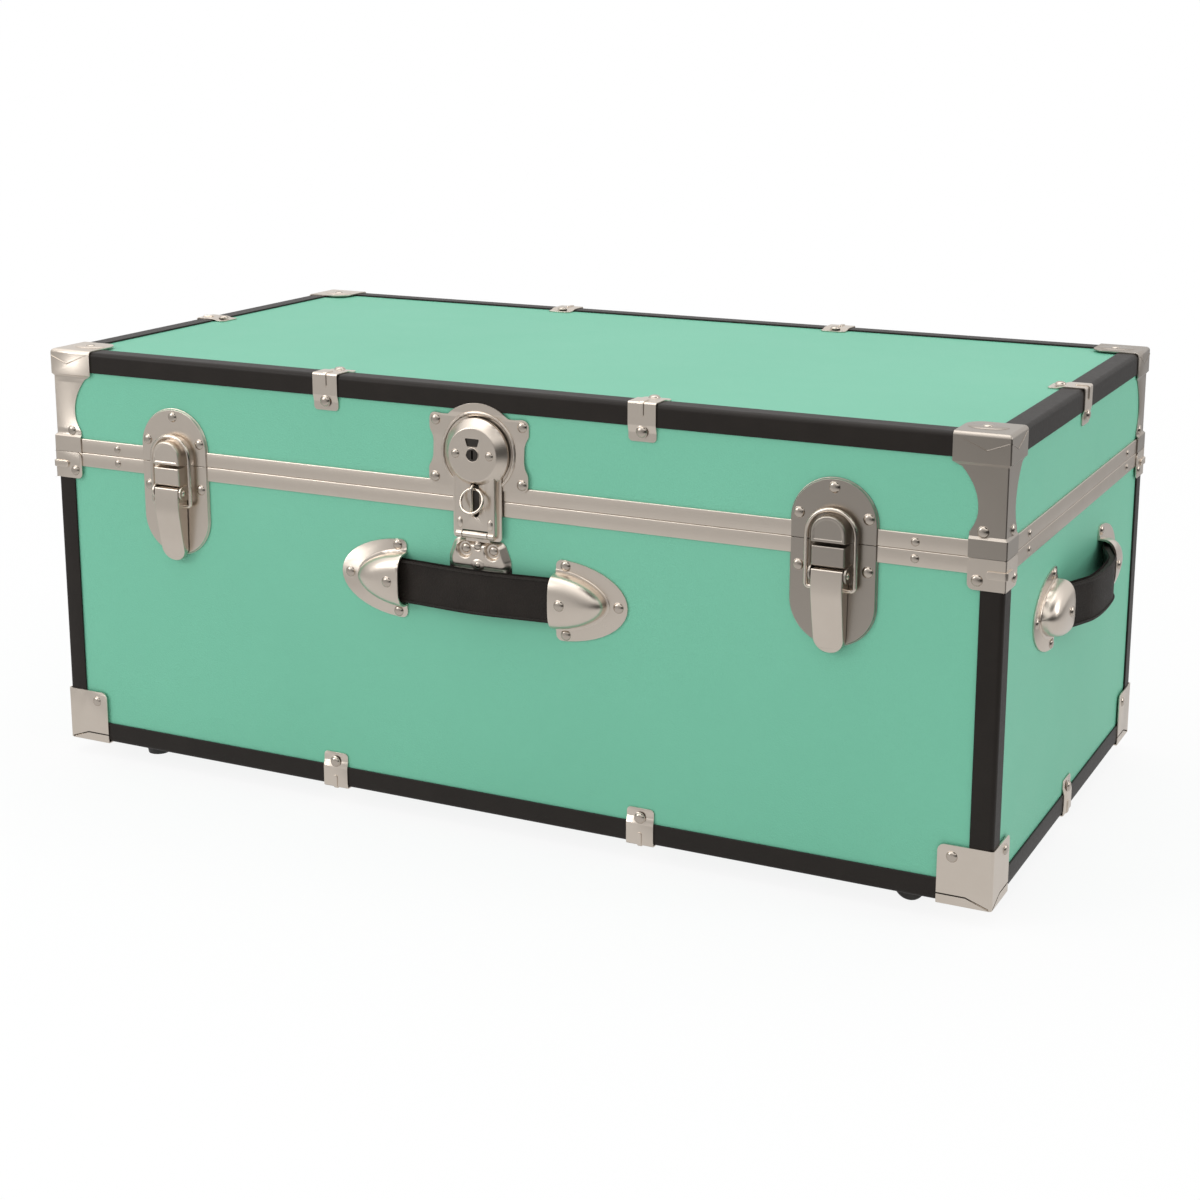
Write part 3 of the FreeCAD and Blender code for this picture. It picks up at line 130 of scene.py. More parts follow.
class Blank:
    """A piece of stock that is shaped with operators, in the axes it is laid out in."""

    def __init__(self, name: str) -> None:
        """Takes over the active object, which a primitive operator has just added.

        Args:
            name: the name of the piece.
        """
        self.obj = bpy.context.object
        self.obj.name = name
        self.obj.data.name = name
        bpy.ops.object.transform_apply(location=True, rotation=True, scale=True)

    @classmethod
    def cuboid(cls, name: str, low: Sequence[float], high: Sequence[float]) -> "Blank":
        """Block between two opposite corners.

        Args:
            name: the name of the piece.
            low: its lowest corner.
            high: its highest corner.

        Returns:
            The blank.
        """
        start_primitive()
        low, high = Vector(low), Vector(high)
        bpy.ops.mesh.primitive_cube_add(size=1, location=(low + high) / 2, scale=high - low)
        return cls(name)

    @classmethod
    def disc(cls, name: str, middle: Sequence[float], radius: float, points: int = 64) -> "Blank":
        """Filled circle that faces along its own Z.

        Args:
            name: the name of the piece.
            middle: its centre.
            radius: its radius.
            points: how many corners it has.

        Returns:
            The blank.
        """
        start_primitive()
        bpy.ops.mesh.primitive_circle_add(
            vertices=points, radius=radius, fill_type="NGON", location=middle
        )
        return cls(name).face_outwards()

    @classmethod
    def torus(cls, name: str, middle: Sequence[float], radii: Sequence[float],
              segments: Sequence[int], lean: float = 0.0) -> "Blank":
        """Ring of round wire.

        Args:
            name: the name of the piece.
            middle: its centre.
            radii: of the ring and of the wire.
            segments: how many facets run along and round the wire.
            lean: how far it is tilted about X.

        Returns:
            The blank.
        """
        start_primitive()
        bpy.ops.mesh.primitive_torus_add(
            major_radius=radii[0], minor_radius=radii[1], major_segments=segments[0],
            minor_segments=segments[1], location=middle, rotation=(lean, 0, 0),
        )
        return cls(name)

    @classmethod
    def ball(cls, name: str, middle: Sequence[float], radii: Sequence[float], rings: int = 12) -> "Blank":
        """Ellipsoid.

        Args:
            name: the name of the piece.
            middle: its centre.
            radii: its half sizes along the three axes.
            rings: how many rings it has, with twice as many segments.

        Returns:
            The blank.
        """
        start_primitive()
        bpy.ops.mesh.primitive_uv_sphere_add(
            segments=2 * rings, ring_count=rings, radius=1, location=middle, scale=radii
        )
        return cls(name)

    @classmethod
    def outline(cls, name: str, corners: Sequence[Corner], level: float = 0.0, steps: int = 6) -> "Blank":
        """Flat sheet with rounded corners, made from a ring of as many points.

        Args:
            name: the name of the piece.
            corners: (across, up, radius) of each corner, anticlockwise.
            level: its height above the face.
            steps: how many facets a rounded corner has.

        Returns:
            The blank.
        """
        start_primitive()
        bpy.ops.mesh.primitive_circle_add(vertices=len(corners), radius=1, fill_type="NGON")
        blank = cls(name)
        starts = [v.co.copy() for v in blank.obj.data.vertices]
        if (starts[0].cross(starts[1])).z < 0:
            starts.reverse()
        places = [Vector((a, b, level)) for a, b, _ in corners]
        clear = Vector((0, 0, 10))
        for start, place in zip(starts, places):
            blank.pick("VERT", lambda v: (v.co - start).length < NEAR)
            slide(place - start + clear)
        blank.pick("VERT", lambda v: True)
        slide(-clear)
        for i, (a, b, radius) in enumerate(corners):
            if radius <= 0:
                continue
            here = places[i]
            before = (places[i - 1] - here).normalized()
            after = (places[(i + 1) % len(corners)] - here).normalized()
            half = before.angle(after) / 2
            blank.pick("VERT", lambda v: (v.co - here).length < NEAR)
            bpy.ops.mesh.bevel(
                offset=radius / math.tan(half), segments=steps, affect="VERTICES", clamp_overlap=False
            )
        blank.merge()
        return blank.face_outwards()

    def face_outwards(self) -> "Blank":
        """Turns a flat sheet to face along its own Z."""
        self.pick("FACE", lambda f: f.normal.z < 0)
        bpy.ops.mesh.flip_normals()
        return self

    def pick(self, mode: str, test: Test) -> "Blank":
        """Enters edit mode with only the elements selected that pass a test.

        Args:
            mode: VERT, EDGE or FACE.
            test: takes an element of the edit mesh.

        Returns:
            The blank.
        """
        bpy.context.view_layer.objects.active = self.obj
        if bpy.context.mode != "EDIT_MESH":
            bpy.ops.object.select_all(action="DESELECT")
            self.obj.select_set(True)
            bpy.ops.object.mode_set(mode="EDIT")
        bpy.ops.mesh.select_mode(type=mode)
        bpy.ops.mesh.select_all(action="DESELECT")
        mesh = bmesh.from_edit_mesh(self.obj.data)
        mesh.normal_update()
        elements = {"VERT": mesh.verts, "EDGE": mesh.edges, "FACE": mesh.faces}[mode]
        for element in elements:
            if test(element):
                element.select_set(True)
        mesh.select_flush_mode()
        bmesh.update_edit_mesh(self.obj.data)
        return self

    def done(self) -> "Blank":
        """Leaves edit mode with this piece alone active and selected."""
        if bpy.context.mode != "OBJECT":
            bpy.ops.object.mode_set(mode="OBJECT")
        bpy.ops.object.select_all(action="DESELECT")
        self.obj.select_set(True)
        bpy.context.view_layer.objects.active = self.obj
        return self

    def merge(self) -> "Blank":
        """Joins points that lie on each other."""
        self.pick("VERT", lambda v: True)
        bpy.ops.mesh.remove_doubles(threshold=NEAR)
        return self

    def press(self, *stages: tuple[float, float]) -> "Blank":
        """Raises the front face in stages, and leaves the last face selected.

        Args:
            stages: (inset, rise) of each stage; an inset of 0 is a straight wall.

        Returns:
            The blank.
        """
        top = max(v.co.z for v in self.mesh_now())
        self.pick("FACE", lambda f: f.normal.z > FACING and centre(f).z > top - NEAR)
        for inset, rise in stages:
            if inset:
                bpy.ops.mesh.inset(thickness=inset, depth=rise)
            else:
                extrude((0, 0, rise))
        return self

    def mesh_now(self) -> Iterable[object]:
        """The vertices as they are now, in either mode."""
        if bpy.context.mode == "EDIT_MESH":
            return bmesh.from_edit_mesh(self.obj.data).verts
        return self.obj.data.vertices

    def turn_stages(self, middle: Sequence[float], *stages: tuple[float, float]) -> "Blank":
        """Draws the front face of a disc out into turned stages.

        Args:
            middle: the centre of the disc.
            stages: (radius, height) of each stage above the plane of the disc.

        Returns:
            The blank.
        """
        points = [v.co for v in self.mesh_now()]
        radius = max((Vector(p.xy) - Vector(middle[:2])).length for p in points)
        base = level = max(p.z for p in points)
        self.pick("FACE", lambda f: f.normal.z > FACING and centre(f).z > level - NEAR)
        for wide, high in stages:
            extrude((0, 0, base + high - level))
            level = base + high
            share = wide / radius
            resize((share, share, 1), (middle[0], middle[1], level))
            radius = wide
        return self

    def bevel(self, test: Test, width: float, segments: int = 3) -> "Blank":
        """Rounds the edges that pass a test."""
        self.pick("EDGE", test)
        bpy.ops.mesh.bevel(offset=width, segments=segments, affect="EDGES")
        return self

    def cut(self, point: Sequence[float], normal: Sequence[float], drop: bool = False,
            only: Test = lambda f: True) -> "Blank":
        """Cuts the faces that pass a test along a plane.

        Args:
            point: a point of the plane.
            normal: its normal, which points to the side that is dropped.
            drop: whether that side is removed, and the cut closed.
            only: which faces are cut.

        Returns:
            The blank.
        """
        self.pick("FACE", only)
        bpy.ops.mesh.bisect(plane_co=tuple(point), plane_no=tuple(normal), clear_outer=drop, use_fill=drop)
        return self

    def delete(self, test: Test) -> "Blank":
        """Removes the faces that pass a test."""
        self.pick("FACE", test)
        bpy.ops.mesh.delete(type="FACE")
        return self

    def modify(self, kind: str, **settings: object) -> "Blank":
        """Adds a modifier and applies it.

        Args:
            kind: the modifier's type.
            settings: its settings.

        Returns:
            The blank.
        """
        self.done()
        modifier = self.obj.modifiers.new(kind, kind)
        for name, value in settings.items():
            setattr(modifier, name, value)
        bpy.ops.object.modifier_apply(modifier=modifier.name)
        return self

    def combine(self, other: "Blank", operation: str) -> "Blank":
        """Joins with another solid, or cuts it off, by the operation's name; the other is used up."""
        self.modify("BOOLEAN", object=other.obj, operation=operation, solver="EXACT")
        bpy.data.objects.remove(other.obj)
        return self

    def soften(self, width: float, segments: int = 2) -> "Blank":
        """Breaks all sharp edges and shades the rest smooth."""
        self.modify(
            "BEVEL", width=width, segments=segments, limit_method="ANGLE", angle_limit=SHARP_ANGLE,
            use_clamp_overlap=True,
        )
        self.smooth()
        return self.modify("WEIGHTED_NORMAL", keep_sharp=True)

    def smooth(self) -> "Blank":
        """Shades the piece smooth between its sharp edges."""
        self.done()
        bpy.ops.object.shade_smooth_by_angle(angle=SHARP_ANGLE)
        return self

    def outside(self) -> "Blank":
        """Makes all faces point outwards."""
        self.pick("FACE", lambda f: True)
        bpy.ops.mesh.normals_make_consistent(inside=False)
        return self

    def place(self, matrix: Matrix) -> "Blank":
        """Carries the mesh to its place; a mirror image is turned the right way out."""
        self.done()
        self.obj.data.transform(matrix)
        if matrix.determinant() < 0:
            self.obj.data.flip_normals()
        return self

    def copy(self, name: str, matrix: Matrix) -> "Blank":
        """A copy with its own mesh, carried by a matrix."""
        self.done()
        bpy.ops.object.duplicate()
        return Blank(name).place(matrix)

    def spread(self, name: str, places: Iterable[Matrix]) -> "Blank":
        """Copies at several places as one piece, which uses up the pattern.

        Args:
            name: the name of the joined piece.
            places: the matrix that carries each copy.

        Returns:
            The joined piece.
        """
        twins = [self.copy("twin", matrix) for matrix in places]
        bpy.data.objects.remove(self.obj)
        return joined(name, twins)


def start_primitive() -> None:
    """Object mode with nothing selected."""
    if bpy.context.mode != "OBJECT":
        bpy.ops.object.mode_set(mode="OBJECT")
    bpy.ops.object.select_all(action="DESELECT")


def joined(name: str, blanks: Sequence[Blank]) -> Blank:
    """One object from several.

    Args:
        name: the name of the joined piece.
        blanks: the pieces, which are used up.

    Returns:
        The joined piece.
    """
    start_primitive()
    for blank in blanks:
        blank.obj.select_set(True)
    bpy.context.view_layer.objects.active = blanks[0].obj
    if len(blanks) > 1:
        bpy.ops.object.join()
    return Blank(name)


def profile_bar(name: str, corners: Sequence[Corner], low: float, high: float, steps: int = 5) -> Blank:
    """A bar whose section is drawn as (out, up) corners and which runs across the face.

    Args:
        name: the name of the piece.
        corners: (out, up, radius) of each corner of the section, anticlockwise.
        low: where it starts across the face.
        high: where it ends.
        steps: how many facets a rounded corner has.

    Returns:
        The bar, in the axes of the face.
    """
    bar = Blank.outline(name, corners, low, steps).press((0, high - low)).outside()
    return bar.place(Matrix(((0, 0, 1, 0), (0, 1, 0, 0), (1, 0, 0, 0), (0, 0, 0, 1))))


def wire(name: str, radius: float, points: Sequence[Corner]) -> Blank:
    """Bent wire: a round section drawn out along straight runs and spun round each bend.

    Args:
        name: the name of the piece.
        radius: the radius of the wire.
        points: (across, up, radius of the bend) along the wire, in one plane.

    Returns:
        The wire, lying in its own XY plane.
    """
    section_points, bend_steps = 16, 8
    stops = [Vector((a, b, 0)) for a, b, _ in points]
    heading = (stops[1] - stops[0]).normalized()
    start_primitive()
    turn = Vector((0, 0, 1)).rotation_difference(heading).to_euler()
    bpy.ops.mesh.primitive_circle_add(
        vertices=section_points, radius=radius, fill_type="NGON", location=stops[0], rotation=turn
    )
    blank = Blank(name)
    blank.pick("FACE", lambda f: True)
    here = stops[0]
    for i in range(1, len(stops)):
        heading = (stops[i] - stops[i - 1]).normalized()
        if i == len(stops) - 1:
            extrude(stops[i] - here)
            break
        onward = (stops[i + 1] - stops[i]).normalized()
        angle = heading.angle(onward)
        reach = points[i][2] * math.tan(angle / 2)
        extrude(stops[i] - heading * reach - here)
        side = heading.cross(onward).normalized()
        pivot = stops[i] - heading * reach + side.cross(heading) * points[i][2]
        bpy.ops.mesh.spin(
            steps=bend_steps, angle=angle, center=tuple(pivot), axis=tuple(-side), use_normal_flip=False
        )
        here = stops[i] + onward * reach
    blank.merge()
    return blank.outside()


def wrapped_rib(cover: float, bend: float, half: float, length: float, rise: float) -> Blank:
    """A pressed rib with round ends that runs over a bent edge.

    Args:
        cover: how far the metal stands out on both walls.
        bend: the radius of the bend.
        half: half the rib's width.
        length: how far it reaches from the edge on both walls.
        rise: how far it stands out.

    Returns:
        The rib, in the axes of the wall, from the panel's corner.
    """
    end, sunk = cover - length, 0.0004
    top, root = cover + rise, cover - sunk
    section = [(top, end, 0), (top, top, bend + rise), (end, top, 0),
               (end, root, 0), (root, root, max(bend - sunk, 0)), (root, end, 0)]
    bar = profile_bar("rib", section, -half, half, 6)
    bar.bevel(leg_ends(half, end), half * 0.95, 5)
    return bar.soften(min(0.0005, rise * 0.6))


def roller(name: str, radius: float, ends: Sequence[float], up: float, out: float, points: int = 28) -> Blank:
    """Cylinder that lies across a face.

    Args:
        name: the name of the piece.
        radius: its radius.
        ends: where it starts and ends across the face.
        up: the height of its axis.
        out: how far its axis is from the face.
        points: how many corners its section has.

    Returns:
        The cylinder, with soft ends.
    """
    roll = Blank.disc(name, (0, 0, ends[0]), radius, points)
    return roll.press((0, ends[1] - ends[0])).outside().soften(0.0003, 1).place(lying(up, out))


# Finishes


class Value:
    """A shader socket that takes part in sums as a number does."""

    def __init__(self, tree: bpy.types.NodeTree, socket: object) -> None:
        """Wraps a socket of a node tree."""
        self.tree = tree
        self.socket = socket

    def math(self, operation: str, *others: object) -> "Value":
        """A Math node on this value and others.

        Args:
            operation: the node's operation.
            others: numbers or values for its other inputs.

        Returns:
            The node's output.
        """
        node = self.tree.nodes.new("ShaderNodeMath")
        node.operation = operation
        for socket, given in zip(node.inputs, (self, *others)):
            connect(self.tree, socket, given)
        return Value(self.tree, node.outputs[0])

    def __add__(self, other: object) -> "Value":
        """This plus another."""
        return self.math("ADD", other)

    def __radd__(self, other: float) -> "Value":
        """Another plus this."""
        return self.math("ADD", other)

    def __sub__(self, other: object) -> "Value":
        """This minus another."""
        return self.math("SUBTRACT", other)

    def __rsub__(self, other: float) -> "Value":
        """A number minus this."""
        return self.math("MULTIPLY", -1.0).math("ADD", other)

    def __mul__(self, other: object) -> "Value":
        """This times another."""
        return self.math("MULTIPLY", other)

    def __rmul__(self, other: float) -> "Value":
        """Another times this."""
        return self.math("MULTIPLY", other)

    def power(self, exponent: float) -> "Value":
        """This raised to an exponent."""
        return self.math("POWER", exponent)

    def above(self, threshold: float) -> "Value":
        """One where this is over a threshold, and zero elsewhere."""
        return self.math("GREATER_THAN", threshold)

    def below(self, threshold: float) -> "Value":
        """One where this is under a threshold, and zero elsewhere."""
        return self.math("LESS_THAN", threshold)


def connect(tree: bpy.types.NodeTree, socket: object, given: object) -> None:
    """Links a value to an input, or sets it."""
    if isinstance(given, Value):
        tree.links.new(given.socket, socket)
    elif isinstance(given, (tuple, list)) and len(given) == 3 and len(socket.default_value) == 4:
        socket.default_value = (*given, 1.0)
    else:
        socket.default_value = given


def grey(level: float) -> Corner:
    """The grey of a level."""
    return level, level, level


class Recipe:
    """The node tree of one material."""

    def __init__(self, tree: bpy.types.NodeTree) -> None:
        """Clears a tree and takes it over."""
        self.tree = tree
        tree.nodes.clear()

    @classmethod
    def material(cls, name: str) -> tuple["Recipe", bpy.types.Material]:
        """A new material and the recipe of its tree."""
        material = bpy.data.materials.new(name)
        material.use_nodes = True
        return cls(material.node_tree), material

    def node(self, kind: str, settings: dict | None = None, inputs: dict | None = None,
             output: int | str = 0) -> Value:
        """Adds a node.

        Args:
            kind: the node's type, without its ShaderNode prefix.
            settings: properties that are set first.
            inputs: numbers, colours or values for its inputs, by name or number.
            output: which output is wanted.

        Returns:
            That output.
        """
        node = self.tree.nodes.new("ShaderNode" + kind)
        for name, value in (settings or {}).items():
            setattr(node, name, value)
        for name, given in (inputs or {}).items():
            connect(self.tree, node.inputs[name], given)
        return Value(self.tree, node.outputs[output])

    def ramp(self, where: Value, *stops: tuple[float, float]) -> Value:
        """Greys along a value.

        Args:
            where: the value from 0 to 1 that they follow.
            stops: (position, level) of each stop.

        Returns:
            The grey.
        """
        node = self.tree.nodes.new("ShaderNodeValToRGB")
        elements = node.color_ramp.elements
        while len(elements) < len(stops):
            elements.new(1.0)
        for element, (position, level) in zip(elements, stops):
            element.position = position
            element.color = (*grey(level), 1.0)
        connect(self.tree, node.inputs[0], where)
        return Value(self.tree, node.outputs[0])

    def axes(self, space: str = "Object") -> tuple[Value, ...]:
        """The coordinates of a space along its three axes."""
        node = self.tree.nodes.new("ShaderNodeSeparateXYZ")
        connect(self.tree, node.inputs[0], self.node("TexCoord", output=space))
        return tuple(Value(self.tree, socket) for socket in node.outputs)

    def mix(self, share: object, first: object, second: object) -> Value:
        """A blend of two colours."""
        node = self.tree.nodes.new("ShaderNodeMix")
        node.data_type = "RGBA"
        for index, given in ((0, share), (6, first), (7, second)):
            connect(self.tree, node.inputs[index], given)
        return Value(self.tree, node.outputs[2])

    def coordinates(self, scale: Sequence[float] = (1, 1, 1)) -> Value:
        """Object coordinates, stretched by a scale."""
        place = self.node("TexCoord", output="Object")
        return self.node("Mapping", inputs={"Vector": place, "Scale": tuple(scale)})

    def noise(self, scale: float, detail: float = 3.0, stretch: Sequence[float] = (1, 1, 1)) -> Value:
        """Noise from 0 to 1, with so many cells in a metre."""
        where = self.coordinates(stretch)
        return self.node("TexNoise", inputs={"Vector": where, "Scale": scale, "Detail": detail})

    def cells(self, scale: float) -> Value:
        """Distance from the middle of the nearest of so many cells in a metre."""
        where = self.coordinates()
        return self.node("TexVoronoi", {"feature": "SMOOTH_F1"}, {"Vector": where, "Scale": scale})

    def bump(self, height: Value, depth: float, under: Value | None = None) -> Value:
        """A normal from a height field of this depth in metres."""
        inputs = {"Height": height, "Strength": 1.0, "Distance": depth}
        if under is not None:
            inputs["Normal"] = under
        return self.node("Bump", inputs=inputs)

    def surface(self, inputs: dict) -> None:
        """The principled shader with these inputs, as the material's surface."""
        self.finish("OutputMaterial", self.node("BsdfPrincipled", inputs=inputs))

    def finish(self, kind: str, shader: Value) -> None:
        """Makes a shader the surface of the tree's output node."""
        sink = self.tree.nodes.new("ShaderNode" + kind)
        connect(self.tree, sink.inputs["Surface"], shader)


@dataclass(frozen=True)
class Vinyl:
    """Mint vinyl with a fine pressed grain outside, and a paper lining inside."""

    colour: Corner = (0.180, 0.532, 0.368)
    shade: Corner = (0.158, 0.486, 0.333)
    lining: Corner = (0.56, 0.53, 0.47)
    board: Corner = (0.42, 0.31, 0.20)
    roughness: float = 0.47
    grain_cells: float = 950.0
    grain_depth: float = 0.00012
    wave_depth: float = 0.0007

    def material(self, trunk: "Trunk") -> bpy.types.Material:
        """Builds the material.

        Args:
            trunk: the planes of the trunk, which tell outside from inside.

        Returns:
            The material.
        """
        recipe, material = Recipe.material("covered_board")
        x, y, z = recipe.axes()
        skin = trunk.board / 2
        outside = x.math("ABSOLUTE").above(trunk.right_x - skin)
        for value, high in ((y.math("SUBTRACT", trunk.mid_y).math("ABSOLUTE"), trunk.half_y - skin),
                            (z, trunk.top_z - skin)):
            outside = outside.math("MAXIMUM", value.above(high))
        outside = outside.math("MAXIMUM", z.below(trunk.bottom_z + skin))
        patches = recipe.noise(5.0, 2.0)
        vinyl = recipe.mix(patches, self.colour, self.shade)
        fibre = recipe.noise(60.0, 5.0, (1.0, 1.0, 4.0))
        paper = recipe.mix(fibre, self.lining, tuple(c * 0.9 for c in self.lining))
        grain = recipe.cells(self.grain_cells) + recipe.noise(self.grain_cells * 1.7, 2.0) * 0.5
        wave = recipe.bump(recipe.noise(9.0, 1.0), self.wave_depth)
        normal = recipe.bump(grain, self.grain_depth, wave)
        roughness = self.roughness + recipe.noise(25.0, 3.0) * 0.08 + (1 - outside) * 0.25
        recipe.surface({
            "Base Color": recipe.mix(outside, paper, vinyl),
            "Roughness": roughness,
            "Specular IOR Level": 0.4,
            "Normal": normal,
        })
        return material


class Lay(Enum):
    """Which way the polishing marks of a metal piece run."""

    ALL_WAYS = (1.0, 1.0, 1.0)
    ALONG_X = (0.02, 1.0, 1.0)
    ALONG_Y = (1.0, 0.02, 1.0)


@dataclass(frozen=True)
class PlatedSteel:
    """Pressed steel with a warm nickel plating, satin from the barrel.

    Towards the trunk's right end its colour falls off to a set share of itself, as the photograph
    shows on the lid's corners and on the latch plates; this fall-off is painted shade, not a change in the
    plating.
    """

    name: str
    colour: Corner = (0.78, 0.697, 0.610)
    worn: Corner = (0.68, 0.598, 0.516)
    roughness: float = 0.22
    lay: Lay = Lay.ALL_WAYS
    mark_depth: float = 0.00002
    # painted shade: the share of the colour that is left at the right end
    right_shade_share: float = 1.0

    def material(self) -> bpy.types.Material:
        """Builds the material and returns it."""
        recipe, material = Recipe.material(self.name)
        cloud = recipe.noise(38.0, 4.0)
        marks = recipe.noise(2400.0, 2.0, self.lay.value)
        stain = recipe.noise(140.0, 5.0)
        colour = recipe.mix(cloud * 0.6 + stain * 0.3, self.colour, self.worn)
        # Painted shade: the colour is darkened towards the trunk's right end.
        if self.right_shade_share < 1:
            share = recipe.ramp(recipe.axes()[0] + 0.5, (0.30, 0), (0.70, 1))
            colour = recipe.mix(share, colour, tuple(c * self.right_shade_share for c in self.colour))
        recipe.surface({
            "Base Color": colour,
            "Metallic": 1.0,
            "Roughness": self.roughness + cloud * 0.10 + marks * 0.06,
            "Normal": recipe.bump(marks + cloud * 4.0, self.mark_depth),
        })
        return material


@dataclass(frozen=True)
class DarkCover:
    """A dark plastic, rubber or leather surface with a grain."""

    name: str
    colour: Corner
    light: Corner
    roughness: float
    cells: float
    depth: float
    specular: float = 0.5

    def material(self) -> bpy.types.Material:
        """Builds the material and returns it."""
        recipe, material = Recipe.material(self.name)
        patches = recipe.noise(55.0, 4.0)
        pebbles = recipe.cells(self.cells)
        recipe.surface({
            "Base Color": recipe.mix(patches.power(2.0), self.colour, self.light),
            "Roughness": self.roughness + recipe.noise(300.0, 2.0) * 0.1,
            "Specular IOR Level": self.specular,
            "Normal": recipe.bump(pebbles + recipe.noise(self.cells * 2, 2.0) * 0.4, self.depth),
        })
        return material


class Finishes:
    """All materials of the trunk, built once."""

    def __init__(self, trunk: "Trunk") -> None:
        """Builds the materials for a trunk."""
        self.vinyl = Vinyl().material(trunk)
        self.plate = PlatedSteel("plated_steel").material()
        # Rougher steel, with painted shade that darkens it towards the right end.
        self.dull_shaded = PlatedSteel("dull_steel_right_shaded", roughness=0.25, right_shade_share=0.56).material()
        self.bright = PlatedSteel("bright_steel", roughness=0.13).material()
        self.rivet = PlatedSteel("rivet_steel", (0.60, 0.53, 0.46), (0.50, 0.44, 0.38), 0.15).material()
        self.rail_x = PlatedSteel(
            "rail_steel_x", roughness=0.27, lay=Lay.ALONG_X, mark_depth=0.00003,
        ).material()
        # The side rails' steel is a darker copy of the front rails': painted shade on the side walls.
        self.rail_y_shaded = PlatedSteel(
            "rail_steel_y_shaded", (0.66, 0.585, 0.51), (0.58, 0.51, 0.44), 0.27, Lay.ALONG_Y, 0.00003,
        ).material()
        # Dark steel for the key plug, and painted shade for the pieces behind the lock's slot and window.
        self.dark = PlatedSteel("key_steel_and_painted_shade", (0.10, 0.09, 0.08), (0.05, 0.045, 0.04)).material()
        self.binding = DarkCover(
            "edge_binding", (0.013, 0.0094, 0.0070), (0.020, 0.0148, 0.0114), 0.42, 1400.0, 0.00004, 0.26,
        ).material()
        self.leather = DarkCover(
            "black_leather", (0.012, 0.0084, 0.0060), (0.026, 0.0190, 0.0145), 0.54, 1000.0, 0.00040, 0.27,
        ).material()
        self.rubber = DarkCover(
            "wheel_rubber", (0.035, 0.033, 0.030), (0.050, 0.047, 0.043), 0.62, 900.0, 0.00005,
        ).material()
        self.plastic = DarkCover(
            "glide_plastic", (0.022, 0.021, 0.020), (0.030, 0.028, 0.027), 0.45, 1500.0, 0.00004,
        ).material()


def dress(obj: bpy.types.Object, material: bpy.types.Material) -> None:
    """Gives an object one material."""
    if obj.data.materials:
        for slot in obj.material_slots:
            slot.material = material
    else:
        obj.data.materials.append(material)


def install(blank: Blank, material: bpy.types.Material, body: str,
            nodes: Sequence[str]) -> bpy.types.Object:
    """Finishes a piece and puts it on its body in place of CAD nodes.

    Args:
        blank: the piece, in place.
        material: its finish.
        body: the body that it rides on.
        nodes: the nodes that it stands for.

    Returns:
        The piece's object.
    """
    blank.done()
    dress(blank.obj, material)
    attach(blank.obj, body)
    if nodes:
        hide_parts(*nodes)
    log.info("%s on %s, %d faces", blank.obj.name, body, len(blank.obj.data.polygons))
    return blank.obj


# The trunk's planes and faces


@dataclass(frozen=True)
class Face:
    """One wall's outer face; its own axes are across, up and outwards."""

    across: Vector
    up: Vector
    origin: Vector
    half: float

    def matrix(self) -> Matrix:
        """Carries a piece from the face's own axes to the trunk."""
        out = self.across.cross(self.up)
        rows = [(self.across[i], self.up[i], out[i], self.origin[i]) for i in range(3)]
        return Matrix((*rows, (0, 0, 0, 1)))

    def at(self, across: float = 0.0, up: float = 0.0, out: float = 0.0) -> Matrix:
        """The same, from a point on or above the face."""
        return self.matrix() @ Matrix.Translation((across, up, out))


class Trunk:
    """The planes of the box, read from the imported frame, in metres."""

    def __init__(self) -> None:
        """Reads the panels, the rails and the caps."""
        front_low, front_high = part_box("body_front_panel")
        self.board = front_high.y - front_low.y
        self.front_y, self.back_y = front_low.y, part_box("body_back_panel")[1].y
        self.right_x = front_high.x
        self.mid_y = (self.front_y + self.back_y) / 2
        self.half_y = (self.back_y - self.front_y) / 2
        self.top_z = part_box("lid_top_panel")[1].z
        self.bottom_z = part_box("body_bottom_panel")[0].z
        self.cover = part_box("lid_corners")[1].z - self.top_z
        self.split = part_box("lid_rail_front")[0].z
        self.rail_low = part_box("body_rail_front")[0].z
        x, y, z = Vector((1, 0, 0)), Vector((0, 1, 0)), Vector((0, 0, 1))
        self.front = Face(x, z, Vector((0, self.front_y, 0)), self.right_x)
        self.back = Face(-x, z, Vector((0, self.back_y, 0)), self.right_x)
        self.right = Face(y, z, Vector((self.right_x, self.mid_y, 0)), self.half_y)
        self.left = Face(-y, z, Vector((-self.right_x, self.mid_y, 0)), self.half_y)

    def walls(self) -> tuple[Face, ...]:
        """The four upright faces."""
        return self.front, self.back, self.right, self.left

    def mirror_x(self) -> Matrix:
        """Mirrors left to right."""
        return Matrix.Scale(-1, 4, (1, 0, 0))

    def mirror_y(self) -> Matrix:
        """Mirrors front to back."""
        middle = Matrix.Translation((0, self.mid_y, 0))
        return middle @ Matrix.Scale(-1, 4, (0, 1, 0)) @ middle.inverted()

    def four_corners(self, piece: Blank, name: str) -> Blank:
        """A front right piece and its mirror images at the other corners, as one."""
        flip, turn = self.mirror_y(), self.mirror_x()
        return piece.spread(name, (Matrix(), flip, turn, turn @ flip))


# Sub-assemblies


@dataclass
class FrameNodes:
    """The panels, hinges, wheels and feet, which keep the shapes of the frame."""

    finishes: Finishes

    def build(self) -> None:
        """Dresses the nodes."""
        finishes = self.finishes
        for name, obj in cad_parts.items():
            if name.endswith("_panel"):
                dress(obj, finishes.vinyl)
            elif name in ("wheel_front", "wheel_back"):
                dress(obj, finishes.rubber)
            elif name == "glide_feet":
                dress(obj, finishes.plastic)
            elif name.startswith(("wheel_", "hinge_", "lock_hinge")):
                dress(obj, finishes.plate)


